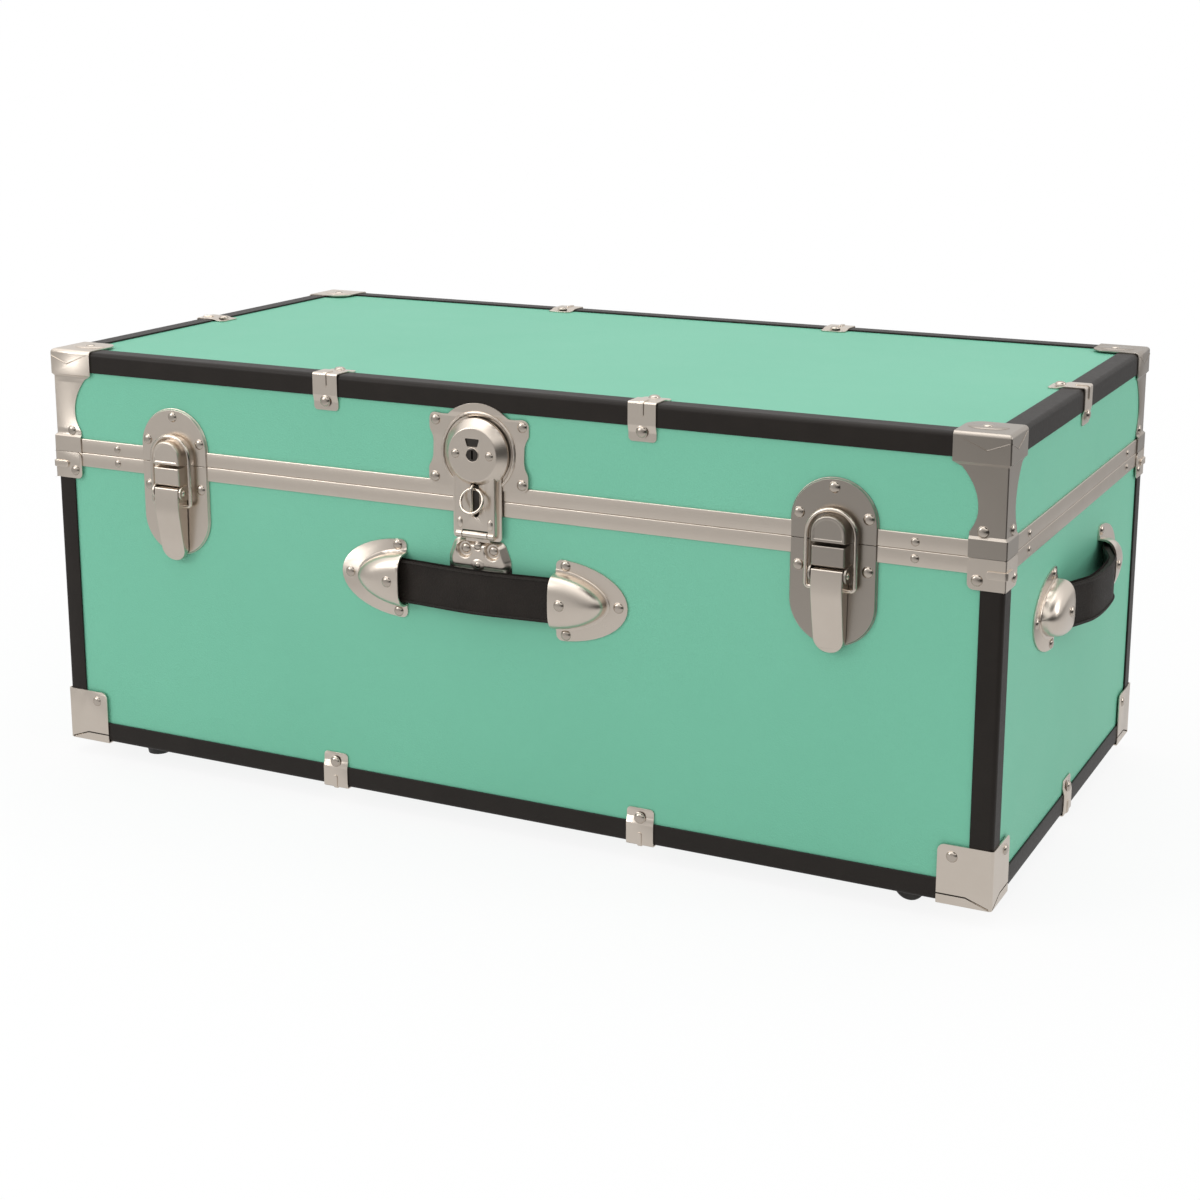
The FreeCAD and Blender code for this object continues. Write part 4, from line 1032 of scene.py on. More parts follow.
@dataclass
class Rails:
    """The rolled steel rails on both sides of the lid line."""

    trunk: Trunk
    finishes: Finishes
    edge_round: float = 0.0006
    parting: float = 0.00012
    flange: float = 0.0012
    slide: float = 0.0007

    def section(self, part: str, out: float, back: float, low: float, high: float) -> list[Corner]:
        """Section of a rail, as (out, up, radius) corners.

        Args:
            part: body or lid.
            out: how far its leg stands out.
            back: how far it reaches into the trunk.
            low: its lower end.
            high: its upper end.

        Returns:
            The corners.
        """
        split, r = self.trunk.split, self.edge_round
        if part == "lid":
            foot = split + self.parting
            return [(back, foot, 0), (out, foot, r), (out, high, r), (0, high, 0),
                    (0, split + self.flange, 0), (back, split + self.flange, 0)]
        top, inside = split - self.parting, -self.trunk.board - self.slide
        return [(0, low, 0), (out, low, r), (out, top, r), (inside, top, 0), (inside, high, 0.0005),
                (back, high, 0), (back, split - self.flange, 0), (0, split - self.flange, 0)]

    def build(self) -> None:
        """Builds the eight rails, mitred where they meet."""
        for part, body in (("body", "trunk_body"), ("lid", "lid")):
            for name in ("front", "back", "right", "left"):
                face = getattr(self.trunk, name)
                node = f"{part}_rail_{name}"
                low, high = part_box(node)
                inverse = face.matrix().inverted()
                a, b = inverse @ Vector(low), inverse @ Vector(high)
                start, end = sorted((a.x, b.x))
                back, out = sorted((a.z, b.z))
                section = self.section(part, out, back, low.z, high.z)
                bar = profile_bar(node + "_rolled", section, start, end, 3)
                for edge, side in ((start, -1), (end, 1)):
                    bar.cut((edge, 0, out), Vector((side, 0, -1)).normalized(), drop=True)
                # The side rails take the darker copy, which is painted shade.
                steel = self.finishes.rail_x if name in ("front", "back") else self.finishes.rail_y_shaded
                install(bar.smooth().place(face.matrix()), steel, body, [node])


@dataclass
class EdgeBindings:
    """Strips over the edges of the box, with rounded corners."""

    trunk: Trunk
    finishes: Finishes
    leg: float = 0.016
    thickness: float = 0.0015
    round_over: float = 0.0034
    soft_edge: float = 0.0003

    def section(self) -> list[Corner]:
        """The strip's section at an upper edge, as (out, up) from the panel's corner."""
        t, leg = self.thickness, self.leg
        return [
            (0, t - leg, 0), (t, t - leg, 0), (t, t, self.round_over),
            (t - leg, t, 0), (t - leg, 0, 0), (0, 0, 0),
        ]

    def edge(self, face: Face, upper: bool) -> Blank:
        """The strip along one side of the lid's top or of the floor.

        Args:
            face: the wall that it lies on.
            upper: whether it is on the lid.

        Returns:
            The strip, mitred and in place.
        """
        t = self.thickness
        reach = face.half + t
        bar = profile_bar("edge", self.section(), -reach, reach)
        for side in (-1, 1):
            bar.cut((side * reach, 0, t), (side, 0, -1), drop=True)
        bar.soften(self.soft_edge, 1)
        if upper:
            return bar.place(face.at(up=self.trunk.top_z))
        return bar.place(face.at(up=self.trunk.bottom_z) @ Matrix.Scale(-1, 4, (0, 1, 0)))

    def upright(self, low: float, high: float) -> Blank:
        """The strip up the front right corner between two heights."""
        bar = profile_bar("upright", self.section(), low, high).soften(self.soft_edge, 1)
        corner = (self.trunk.right_x, self.trunk.front_y)
        return bar.place(Matrix(((0, 0, 1, corner[0]), (0, -1, 0, corner[1]), (1, 0, 0, 0), (0, 0, 0, 1))))

    def build(self) -> None:
        """Builds the bindings of the body and of the lid."""
        trunk = self.trunk
        bottom = trunk.bottom_z - self.thickness + self.leg
        low = [self.edge(face, False) for face in trunk.walls()]
        low.append(trunk.four_corners(self.upright(bottom, trunk.rail_low), "posts"))
        high = [self.edge(face, True) for face in trunk.walls()]
        for part, body, strips in (("body", "trunk_body", low), ("lid", "lid", high)):
            node = part + "_bindings"
            install(joined(node + "_formed", strips), self.finishes.binding, body, [node])


@dataclass
class CornerBrackets:
    """Pressed brackets on the corners of the lid and of the body."""

    trunk: Trunk
    finishes: Finishes
    sheet: float = 0.0009
    recess: float = 0.0015
    fold: float = 0.0009
    edge_round: float = 0.0029
    cap_leaf: float = 0.038
    cap_height: float = 0.0193
    leaf_round: float = 0.012
    leg_top: float = 0.0348
    leg_waist: float = 0.0203
    leg_foot: float = 0.0256
    waist_up: float = 0.031
    foot_up: float = 0.0162
    over_rail: float = 0.012
    crease_corners: tuple[tuple[float, float], ...] = ((0.0355, 0.0030), (0.0158, 0.0108), (0.0010, 0.0052))
    crease_line: tuple[float, float] = (0.0008, 0.00035)
    emboss: tuple[float, float, float, float] = (0.0215, 0.0135, 0.0085, 0.0005)
    ledge_falls: tuple[float, float] = (-0.0019, 0.0017)
    body_width: float = 0.0255
    body_height: float = 0.021
    body_round: float = 0.0042
    tongue: tuple[float, float, float] = (0.0026, 0.0132, 0.0013)
    bottom_width: float = 0.038
    bottom_height: float = 0.042
    flap_up: float = 0.0070
    flap_fall: float = 0.0180
    flap_gap: float = 0.0010
    flap_tip: tuple[float, float] = (0.0022, 0.0014)
    bottom_round: float = 0.0050
    floor_round: float = 0.0010
    bottom_fold: float = 0.0016
    soft_edge: float = 0.0002

    def corner(self) -> tuple[float, float]:
        """The outer corner of a front right bracket, in plan."""
        return self.trunk.right_x + self.trunk.cover, self.trunk.front_y - self.trunk.cover

    def shell(self, name: str, width: float, low: float, high: float, keep: float) -> Blank:
        """Two walls round the front right corner, with a third leaf at one end or without it.

        Args:
            name: the name of the piece.
            width: how far it reaches from the corner.
            low: its lower end.
            high: its upper end.
            keep: 1 for a leaf at the upper end, -1 for one at the lower end, 0 for none.

        Returns:
            The open shell, at the outer surface of the sheet.
        """
        x, y = self.corner()
        blank = Blank.cuboid(name, (x - width, y, low), (x, y + width, high))
        return blank.delete(lambda f: f.normal.x < -0.5 or f.normal.y > 0.5
                            or (abs(f.normal.z) > 0.5 and f.normal.z * keep <= 0))

    def on_front(self, f: object) -> bool:
        """Whether a face lies in the front wall."""
        return f.normal.y < -0.9

    def on_right(self, f: object) -> bool:
        """Whether a face lies in the right wall."""
        return f.normal.x > 0.9

    def walls(self) -> tuple[tuple[Test, Vector], ...]:
        """The two walls, each with the direction that leads away from the corner."""
        return (self.on_front, Vector((-1, 0, 0))), (self.on_right, Vector((0, 1, 0)))

    def leg_width(self, up: float, top: float) -> float:
        """Width of the lid bracket's leg at a height above the lid line."""
        if up <= self.foot_up:
            return self.leg_foot
        if up < self.waist_up:
            share = (self.waist_up - up) / (self.waist_up - self.foot_up)
            return self.leg_waist + (self.leg_foot - self.leg_waist) * share ** 2
        share = (up - self.waist_up) / (top - self.waist_up)
        return self.leg_waist + (self.leg_top - self.leg_waist) * share ** 2.1

    def lid_corner(self) -> Blank:
        """Cap on three faces with a waisted leg that steps out over the rail."""
        split = self.trunk.split
        x, y = self.corner()
        high = self.trunk.top_z + self.trunk.cover
        step, foot = high - self.cap_height, split + self.over_rail
        shell = self.shell("lid_corner", self.cap_leaf, split, high, 1)
        below, above = 6, 9
        curve = [self.foot_up + (self.waist_up - self.foot_up) * i / below for i in range(below)]
        curve += [self.waist_up + (step - split - self.waist_up) * i / above for i in range(above)]
        rows = [foot] + [split + up for up in curve] + [step]
        for up in rows:
            shell.cut((x, y, up), (0, 0, 1), only=lambda f: f.normal.z < 0.5)
        shell.pick("FACE", lambda f: f.normal.z < 0.5 and foot < centre(f).z < step)
        extrude((-self.recess, self.recess, 0))
        shell.delete(lambda f: abs(f.normal.z) < 0.1 and abs(abs(f.normal.x) - abs(f.normal.y)) < 0.1)
        for up in rows:
            self.draw_in(shell, up, self.recess, self.leg_width(up - split, step - split))
        for up in (split, foot):
            self.draw_in(shell, up, 0.0, self.leg_foot)
        for up, fall in zip((step, foot), self.ledge_falls):
            shell.pick("VERT", lambda v: abs(v.co.z - up) < NEAR and x - v.co.x > self.recess - NEAR
                       and v.co.y - y > self.recess - NEAR)
            slide((0, 0, fall))
        shell.bevel(lambda e: abs(centre(e).z - high) < NEAR and folded(e, 1.0), self.edge_round, 4)
        self.bend_corner(shell, self.fold)
        self.round_leaf(shell, self.cap_leaf)
        return joined("lid_corner", [self.sheet_metal(shell), self.leaf_emboss(high), *self.crease(high)])

    def round_leaf(self, shell: Blank, width: float) -> None:
        """Rounds the free corner of a bracket's level leaf of a width."""
        x, y = self.corner()
        shell.pick("VERT", lambda v: v.co.x < x - width + NEAR and v.co.y > y + width - NEAR)
        bpy.ops.mesh.bevel(offset=self.leaf_round, segments=8, affect="VERTICES")

    def round_ends(self, shell: Blank, width: float, above: float, radius: float, steps: int) -> None:
        """Rounds the corners at the free ends of both walls.

        Args:
            shell: the bracket.
            width: how far its walls reach from the fold.
            above: only corners over this height are rounded.
            radius: their radius.
            steps: how many facets they have.
        """
        x, y = self.corner()
        for end in ((x - width, y), (x, y + width)):
            shell.pick("VERT", lambda v: (v.co.xy - Vector(end)).length < NEAR and v.co.z > above)
            bpy.ops.mesh.bevel(offset=radius, segments=steps, affect="VERTICES")

    def draw_in(self, shell: Blank, up: float, level: float, width: float) -> None:
        """Moves both free ends of a row in to a width.

        Args:
            shell: the bracket.
            up: the height of the row.
            level: how far the row is sunk below the cap.
            width: the width that it gets.
        """
        x, y = self.corner()
        move = self.cap_leaf + level - width
        shell.pick("VERT", lambda v: abs(v.co.z - up) < NEAR and v.co.x < x - self.cap_leaf + NEAR
                   and abs(v.co.y - y - level) < NEAR)
        slide((move, 0, 0))
        shell.pick("VERT", lambda v: abs(v.co.z - up) < NEAR and v.co.y > y + self.cap_leaf - NEAR
                   and abs(x - v.co.x - level) < NEAR)
        slide((0, -move, 0))

    def crease(self, high: float) -> list[Blank]:
        """The shallow V that is pressed into the cap's two walls.

        Args:
            high: the upper end of the cap.

        Returns:
            One piece on each wall.
        """
        cover = self.trunk.cover
        width, rise = self.crease_line
        sunk = 0.0003
        pieces = []
        for face, corner, sign in ((self.trunk.front, self.trunk.right_x + cover, -1),
                                   (self.trunk.right, -self.trunk.half_y - cover, 1)):
            far, tip, near = ((corner + sign * inward, high - drop) for inward, drop in self.crease_corners)
            bead = Blank.outline("crease", [
                (*far, 0), (tip[0], tip[1] - width, 0), (near[0], near[1] - width, 0), (*near, 0), (*tip, 0),
            ], cover - sunk, 1)
            bead.press((0, rise + sunk)).outside().soften(rise * 0.5, 1)
            pieces.append(bead.place(face.matrix()))
        return pieces

    def leaf_emboss(self, high: float) -> Blank:
        """The oval that is pressed up round the rivet of the top leaf."""
        x, y = self.corner()
        inward, long, wide, rise = self.emboss
        points = 40
        rim = [(x - inward + long * math.cos(a), y + inward + wide * math.sin(a), 0)
               for a in (math.tau * i / points for i in range(points))]
        oval = Blank.outline("emboss", rim, high - 0.0002, 1)
        return oval.press((0, 0.0003), (0.0009, rise)).outside().smooth()

    def bend_corner(self, shell: Blank, radius: float) -> None:
        """Rounds the fold between the two walls, and its run over a rounded end."""
        x, y = self.corner()
        shell.bevel(lambda e: all(abs((x - v.co.x) - (v.co.y - y)) < NEAR for v in e.verts)
                    and folded(e, 0.12), radius, 3)

    def sheet_metal(self, shell: Blank) -> Blank:
        """Gives a shell its thickness and soft edges."""
        shell.merge().outside()
        shell.modify("SOLIDIFY", thickness=self.sheet, offset=-1)
        return shell.soften(self.soft_edge)

    def body_corner(self) -> Blank:
        """Bracket over the top of a body corner, with a tongue pressed across its fold."""
        trunk, split = self.trunk, self.trunk.split
        low, high = split - self.body_height, split - self.sheet / 4
        shell = self.shell("body_corner", self.body_width, low, high, 0)
        self.round_ends(shell, self.body_width, 0, self.body_round, 5)
        self.bend_corner(shell, self.fold)
        rib = wrapped_rib(trunk.cover, self.fold, *self.tongue)
        up = (low + high) / 2 + 0.0004
        rib.place(Matrix(((0, 1, 0, trunk.right_x), (0, 0, -1, trunk.front_y), (-1, 0, 0, up), (0, 0, 0, 1))))
        return joined("body_corner", [self.sheet_metal(shell), rib])

    def bottom_corner(self) -> Blank:
        """Cap over a bottom corner, with the flaps of its floor leaf folded up the walls."""
        x, y = self.corner()
        low = self.trunk.bottom_z - self.trunk.cover
        high, width = low + self.bottom_height, self.bottom_width
        shell = self.shell("bottom_corner", width, low, high, -1)
        for wall, away in self.walls():
            self.part_flap(shell, wall, away, Vector((x, y, low)))
        shell.bevel(lambda e: abs(centre(e).z - low) < NEAR and folded(e, 1.0), self.floor_round, 3)
        self.round_ends(shell, width, high - NEAR, self.bottom_round, 6)
        self.bend_corner(shell, self.bottom_fold)
        self.round_leaf(shell, width)
        return self.sheet_metal(shell)

    def part_flap(self, shell: Blank, wall: Test, away: Vector, foot: Vector) -> None:
        """Parts a flap from a wall along a level line that falls to the corner.

        Args:
            shell: the bracket.
            wall: tells the wall's faces.
            away: the direction that leads away from the corner.
            foot: the lower end of the fold.
        """
        up = Vector((0, 0, 1))
        half = self.flap_gap / 2
        bend = foot + away * self.flap_fall + up * self.flap_up
        tip = foot + away * self.flap_tip[0] + up * self.flap_tip[1]
        slope = (bend - tip).normalized()
        across = (up - slope * slope.dot(up)).normalized()
        shell.cut(bend, away, only=wall)

        def outer(f: object) -> bool:
            """Whether a face lies beyond the bend of the line."""
            return wall(f) and (centre(f) - bend).dot(away) > 0

        def inner(f: object) -> bool:
            """Whether a face lies between the bend and the corner."""
            return wall(f) and (centre(f) - bend).dot(away) < 0

        for side in (-half, half):
            shell.cut(bend + up * side, up, only=outer)
            shell.cut(bend + across * side, across, only=inner)
        shell.cut(tip, away, only=inner)
        shell.delete(lambda f: outer(f) and abs((centre(f) - bend).z) < half)
        shell.delete(lambda f: inner(f) and (centre(f) - tip).dot(away) > 0
                     and abs((centre(f) - bend).dot(across)) < half)

    def build(self) -> None:
        """Builds the brackets at all corners."""
        steel = self.finishes.plate
        for node, maker, material, body in (
            # The lid corners take the steel with painted shade at the right end.
            ("lid_corners", self.lid_corner, self.finishes.dull_shaded, "lid"),
            ("body_top_corners", self.body_corner, steel, "trunk_body"),
            ("bottom_corners", self.bottom_corner, steel, "trunk_body"),
        ):
            piece = self.trunk.four_corners(maker(), node + "_pressed")
            install(piece, material, body, [node])


@dataclass
class EdgeClips:
    """Folded clips over the bindings, each with a pressed rib."""

    trunk: Trunk
    finishes: Finishes
    width: float = 0.021
    leg: float = 0.0275
    sheet: float = 0.0009
    binding_leg: float = 0.0160
    edge_round: float = 0.0016
    end_round: float = 0.0030
    rib: tuple[float, float, float] = (0.0016, 0.0100, 0.0008)
    joggle: tuple[float, float, float] = (0.0002, 0.0052, 0.0025)

    def clip(self) -> Blank:
        """The clip at an upper edge, in the axes of the wall, from the panel's corner."""
        c, t = self.trunk.cover, self.sheet
        bind, end = c - self.binding_leg, c - self.leg
        low, step, bend = self.joggle
        half = self.width / 2

        def strip(down: float, up: float) -> list[tuple[float, float]]:
            """One side of the sheet, at a level beside the binding and at one over it."""
            return [(down, end), (down, bind - step), (up, bind), (up, up), (bind, up),
                    (bind - step, down), (end, down)]

        rounds = [0, bend, bend, self.edge_round, bend, bend, 0]
        section = [(a, b, r) for (a, b), r in zip(strip(low + t, c), rounds)]
        section += [(a, b, max(r - t, 0)) for (a, b), r in zip(reversed(strip(low, c - t)), reversed(rounds))]
        bar = profile_bar("clip", section, -half, half)
        bar.bevel(leg_ends(half, end), self.end_round, 6).soften(0.0002)
        return joined("clip", [bar, wrapped_rib(c, self.edge_round, *self.rib)])

    def build(self, offset: float) -> None:
        """Builds the clips of the lid and of the body.

        Args:
            offset: how far the clips on the long sides are from the middle.
        """
        trunk = self.trunk
        places = [(face, side * offset) for face in (trunk.front, trunk.back) for side in (-1, 1)]
        places += [(trunk.right, 0.0), (trunk.left, 0.0)]
        for part, body, level, turn in (
            ("lid", "lid", trunk.top_z, Matrix()),
            ("body", "trunk_body", trunk.bottom_z, Matrix.Scale(-1, 4, (0, 1, 0))),
        ):
            node = part + "_edge_clips"
            clips = self.clip().spread(node + "_pressed", [face.at(a, level) @ turn for face, a in places])
            install(clips, self.finishes.plate, body, [node])


@dataclass
class DrawLatch:
    """A draw latch: catch, base, lever and bail."""

    trunk: Trunk
    finishes: Finishes
    plate_width: float = 0.061
    up: float = 0.0425
    down: float = 0.0715
    rise: float = 0.0026
    sheet: float = 0.001
    gap: float = 0.0004
    catch_width: float = 0.025
    catch_top: float = 0.0194
    catch_rise: float = 0.0135
    block_width: float = 0.024
    block_low: float = 0.0155
    block_high: float = 0.0007
    block_rise: float = 0.013
    pin_drop: float = 0.0205
    pin_rise: float = 0.0095
    lever_width: float = 0.0225
    lever_length: float = 0.0545
    lever_face: float = 0.014
    lever_tip: float = 0.0066
    wire: float = 0.0016
    bail_half: float = 0.0170
    bail_top: float = 0.0219
    bail_foot: float = 0.031
    bail_rise: float = 0.007
    bail_bends: tuple[float, float] = (0.0026, 0.0166)
    soft_edge: float = 0.0003
    ear: tuple[float, float, float] = (0.0047, 0.0065, 0.0015)

    def plate(self, upper: bool) -> Blank:
        """The pressed plate above or below the lid line."""
        half, split = self.plate_width / 2, self.trunk.split
        corners = even_sheet(half, split - self.down, split + self.up, half, half)
        plate = Blank.outline("plate", corners, 0.0, 16)
        plate.press((0, self.sheet), (0.0004, 0), (0.0007, self.rise - self.sheet), (0.0006, 0)).outside()
        side = -1 if upper else 1
        line = split - side * self.gap / 2
        plate.cut((0, line, 0), (0, side, 0), drop=True)
        return plate.soften(self.soft_edge)

    def boss(self, name: str, corners: list[Corner], rise: float) -> Blank:
        """A block pressed up from the plate, with a rounded rim.

        Args:
            name: the name of the piece.
            corners: its outline at its foot.
            rise: the height of its face.

        Returns:
            The block.
        """
        block = Blank.outline(name, corners, self.rise - self.sheet, 8)
        wall = rise - self.rise + self.sheet
        block.press((0, 0.0004), (0.0005, wall - 0.0015), (0.0003, 0.0007), (0.0005, 0.0004))
        return block.outside()

    def catch(self) -> Blank:
        """The upper plate with the catch that the bail hooks over."""
        half, split = self.catch_width / 2, self.trunk.split
        outline = even_sheet(half, split + 0.0005, split + self.catch_top, head=half - 0.0005)
        block = self.boss("catch", outline, self.catch_rise)
        block.press((0.0012, 0.0), (0.0004, -0.0004), (0.0006, 0.0)).soften(self.soft_edge)
        return joined("catch", [self.plate(True), block])

    def base(self) -> Blank:
        """The lower plate with its stop block and the lever's ears."""
        split = self.trunk.split
        outline = even_sheet(self.block_width / 2, split - self.block_low, split - self.block_high)
        parts = [self.plate(False), self.boss("block", outline, self.block_rise).soften(self.soft_edge)]
        pin, foot = split - self.pin_drop, self.rise - self.sheet
        reach, foot_half, thick = self.ear
        inner = self.lever_width / 2 + 0.0004
        profile = [
            (foot, pin - foot_half, 0), (self.pin_rise + reach, pin - reach, reach),
            (self.pin_rise + reach, pin + reach, reach), (foot, pin + foot_half, 0),
        ]
        for side in (-1, 1):
            ends = sorted((side * inner, side * (inner + thick)))
            parts.append(profile_bar("ear", profile, *ends, 6).soften(self.soft_edge))
        return joined("base", parts)

    def lever(self) -> Blank:
        """The pull lever: a folded shell that narrows to a round tip."""
        pin = self.trunk.split - self.pin_drop
        half, tip = self.lever_width / 2, pin - self.lever_length
        back, top, end = 0.0034, pin + 0.0036, half * 0.93
        corners = [(-end, tip, end * 0.97), (end, tip, end * 0.97), (half, top, 0), (-half, top, 0)]
        lever = Blank.outline("lever", corners, back, 12).press((0, self.lever_face - back)).outside()
        lever.delete(lambda f: f.normal.z < -FACING)
        rows, level_share, arch_share, arch = 18, 0.30, 0.45, 0.0006
        for i in range(1, rows):
            lever.cut((0, tip + (top - tip) * i / rows, 0), (0, 1, 0))
        lever.done()
        for vertex in lever.obj.data.vertices:
            share = (top - vertex.co.y) / (top - tip)
            if vertex.co.z > back + NEAR:
                fall = max(share - level_share, 0) / (1 - level_share)
                lift = arch * math.sin(math.pi * min(share / arch_share, 1))
                vertex.co.z += lift - (self.lever_face - self.lever_tip) * fall ** 1.35
        lever.bevel(lambda e: folded(e, 0.9) and centre(e).z > back + NEAR, 0.0009, 3)
        lever.modify("SOLIDIFY", thickness=0.0011, offset=-1).soften(0.0002)
        inner = half - 0.0012
        return joined("lever", [lever, roller("knuckle", 0.0043, (-inner, inner), pin, self.pin_rise, 24)])

    def bail(self) -> Blank:
        """The wire loop, with its ends turned into the lever."""
        split, half = self.trunk.split, self.bail_half
        foot, crown = split - self.bail_foot, split + self.bail_top
        inner = 0.0087
        bend, arch = self.bail_bends
        points = [
            (inner, foot, 0), (half, foot, bend), (half, crown, arch), (-half, crown, arch),
            (-half, foot, bend), (-inner, foot, 0),
        ]
        return wire("bail", self.wire, points).smooth().place(Matrix.Translation((0, 0, self.bail_rise)))

    def pin(self) -> Blank:
        """The pin's two domed heads."""
        reach, pin = self.lever_width / 2 + 0.0019, self.trunk.split - self.pin_drop
        return joined("pin", [
            Blank.ball("head", (across, pin, self.pin_rise), (0.0011, 0.0025, 0.0025), 8).smooth()
            for across in (-reach, reach)
        ])

    def build(self, offset: float) -> None:
        """Builds both latches.

        Args:
            offset: how far they are from the middle of the front.
        """
        # The catch and base plates take the steel with painted shade at the right end.
        steel, dull_shaded, bright = self.finishes.plate, self.finishes.dull_shaded, self.finishes.bright
        sides = (("left", -offset), ("right", offset))
        for kind, material, maker, body in (
            ("catch", dull_shaded, self.catch, "lid"), ("base", dull_shaded, self.base, "trunk_body"),
            ("lever", steel, self.lever, "lever_"), ("bail", bright, self.bail, "bail_"),
        ):
            first = maker()
            for name, across in sides:
                piece = first.copy(f"latch_{kind}_{name}_formed", self.trunk.front.at(across))
                rides = body + name if body.endswith("_") else body
                install(piece, material, rides, [f"latch_{kind}_{name}"])
            bpy.data.objects.remove(first.obj)
        pins = self.pin().spread("latch_pins_headed", [self.trunk.front.at(across) for _, across in sides])
        install(pins, bright, "trunk_body", ["latch_pins"])


@dataclass
class CentreLock:
    """The hasp lock: catch plate, flap, key plug, staple, ring and base plate.

    Heights ending in _up or _drop are from the lid line, and radii and outs are from the face.
    """

    trunk: Trunk
    finishes: Finishes
    centre_up: float = 0.0335
    arch: float = 0.0355
    ear_half: float = 0.040
    plate_low: float = 0.008
    plate_top: float = 0.0605
    sheet: float = 0.001
    over: float = 0.0015
    steps_up: tuple[float, float] = (0.0190, 0.0620)
    step_rows: tuple[float, float] = (0.0050, 0.0009)
    bead: tuple[float, float, float] = (0.0286, 0.0013, 0.0011)
    back: float = 0.003
    wall: float = 0.001
    dome: tuple[tuple[float, float], ...] = (
        (0.0254, 0.0040), (0.0252, 0.0049), (0.0237, 0.0063), (0.0223, 0.0077), (0.0207, 0.0092),
        (0.0198, 0.0100), (0.0192, 0.0105), (0.0186, 0.0106),
    )
    channel_stages: tuple[tuple[float, float], ...] = (
        (0, 0.55), (0.0004, 0.25), (0.0004, 0.14), (0.0003, 0.06),
    )
    strap_face: float = 0.0077
    strap_half: float = 0.0155
    flange_half: float = 0.0195
    window_up: float = 0.0087
    window_halves: tuple[float, float] = (0.00405, 0.00585)
    slot_up: float = 0.0006
    pin_drop: float = 0.0248
    pin_rise: float = 0.0063
    knuckle: float = 0.0028
    knuckle_half: float = 0.010
    base_top: float = 0.0296
    base_low: float = 0.0525
    base_half: tuple[float, float] = (0.0198, 0.0250)
    base_rivet: tuple[float, float] = (0.0112, 0.0370)
    cup: tuple[tuple[float, float], ...] = (
        (0.0052, 0.0003), (0.0057, 0.0012), (0.0060, 0.0022), (0.0064, 0.0029), (0.0073, 0.0034),
        (0.0074, 0.0080),
    )
    level: float = 0.0044
    staple_wire: float = 0.0011
    ring_radii: tuple[float, float] = (0.00875, 0.00105)
    through: float = 0.01
    soft_edge: float = 0.0003

    def middle(self) -> tuple[float, float]:
        """The heights of the lock's centre and of the hinge pin."""
        return self.trunk.split + self.centre_up, self.trunk.split - self.pin_drop

    def catch_plate(self) -> Blank:
        """Plate with four ears and an arch, a pressed bead, and the keeper behind the window."""
        up, split, half = self.middle()[0], self.trunk.split, self.ear_half
        low, high = split + self.plate_low, split + self.plate_top
        bay, dip, slope, ear, hollow = 0.0125, 0.0034, 0.0062, 0.0055, 0.012
        flank = [
            (half, low, ear), (half, low + bay, ear), (half - dip, low + bay + slope, hollow),
            (half - dip, high - bay - slope, hollow), (half, high - bay, ear), (half, high, 0.0052),
        ]
        start, arcs = math.asin((high - 0.0010 - up) / self.arch), 14
        crown = []
        for i in range(arcs + 1):
            angle = start + (math.pi - 2 * start) * i / arcs
            crown.append((self.arch * math.cos(angle), up + self.arch * math.sin(angle), 0))
        shoulder = (crown[0][0] + 0.0045, high - 0.0012, 0.003)
        other = [(-a, b, r) for a, b, r in reversed([*flank, shoulder])]
        plate = Blank.outline("plate", [*flank, shoulder, *crown, *other], 0.0, 6)
        plate.press((0, self.sheet)).outside()
        radius, bead_half, rise = self.bead
        bead = Blank.torus("bead", (0, up, 0), (radius, bead_half), (120, 14))
        bead.place(Matrix.Translation((0, 0, self.sheet)) @ Matrix.Diagonal((1, 1, rise / bead_half, 1)))
        bead.cut((0, low + 0.0003, 0), (0, -1, 0), drop=True)
        plate = joined("plate", [plate, bead])
        shares = (0.1, 0.2, 0.2, 0.2, 0.2, 0.1)
        for edge, side, apart in zip(self.steps_up, (-1, 1), self.step_rows):
            line = split + edge
            for i, _ in enumerate(shares):
                plate.cut((0, line - side * apart * i, 0), (0, 1, 0))
            for i, share in enumerate(shares):
                far = line - side * apart * (i + 0.5)
                plate.pick("VERT", lambda v: (v.co.y - far) * side > 0)
                slide((0, 0, self.over * share))
        plate.soften(self.soft_edge)
        window, lip, tall = up + self.window_up, 0.0040, 0.0025
        keeper = Blank.cuboid("keeper", (-lip, window - tall, 0.0008), (lip, window + tall, 0.0024))
        return joined("lock_catch_plate_pressed", [plate, keeper.soften(0.0004)])

    def case(self, wall: float) -> Blank:
        """The flap's dome and channel as a solid, with its skin drawn in by a thickness."""
        up, pin = self.middle()
        base = self.back - (0.0006 if wall else 0.0)
        stages = [(radius - wall, out - wall - base) for radius, out in self.dome]
        dome = Blank.disc("case", (0, up, base), stages[0][0], 96).turn_stages((0, up), *stages).outside()
        half, low = self.strap_half + 0.0011 - wall, pin - 0.0006 + wall
        channel = Blank.outline("channel", even_sheet(half, low, up, 0.0016), base, 6)
        depth = self.strap_face - wall - base
        channel.press(*((inset, depth * share) for inset, share in self.channel_stages))
        return channel.outside().combine(dome, "UNION")

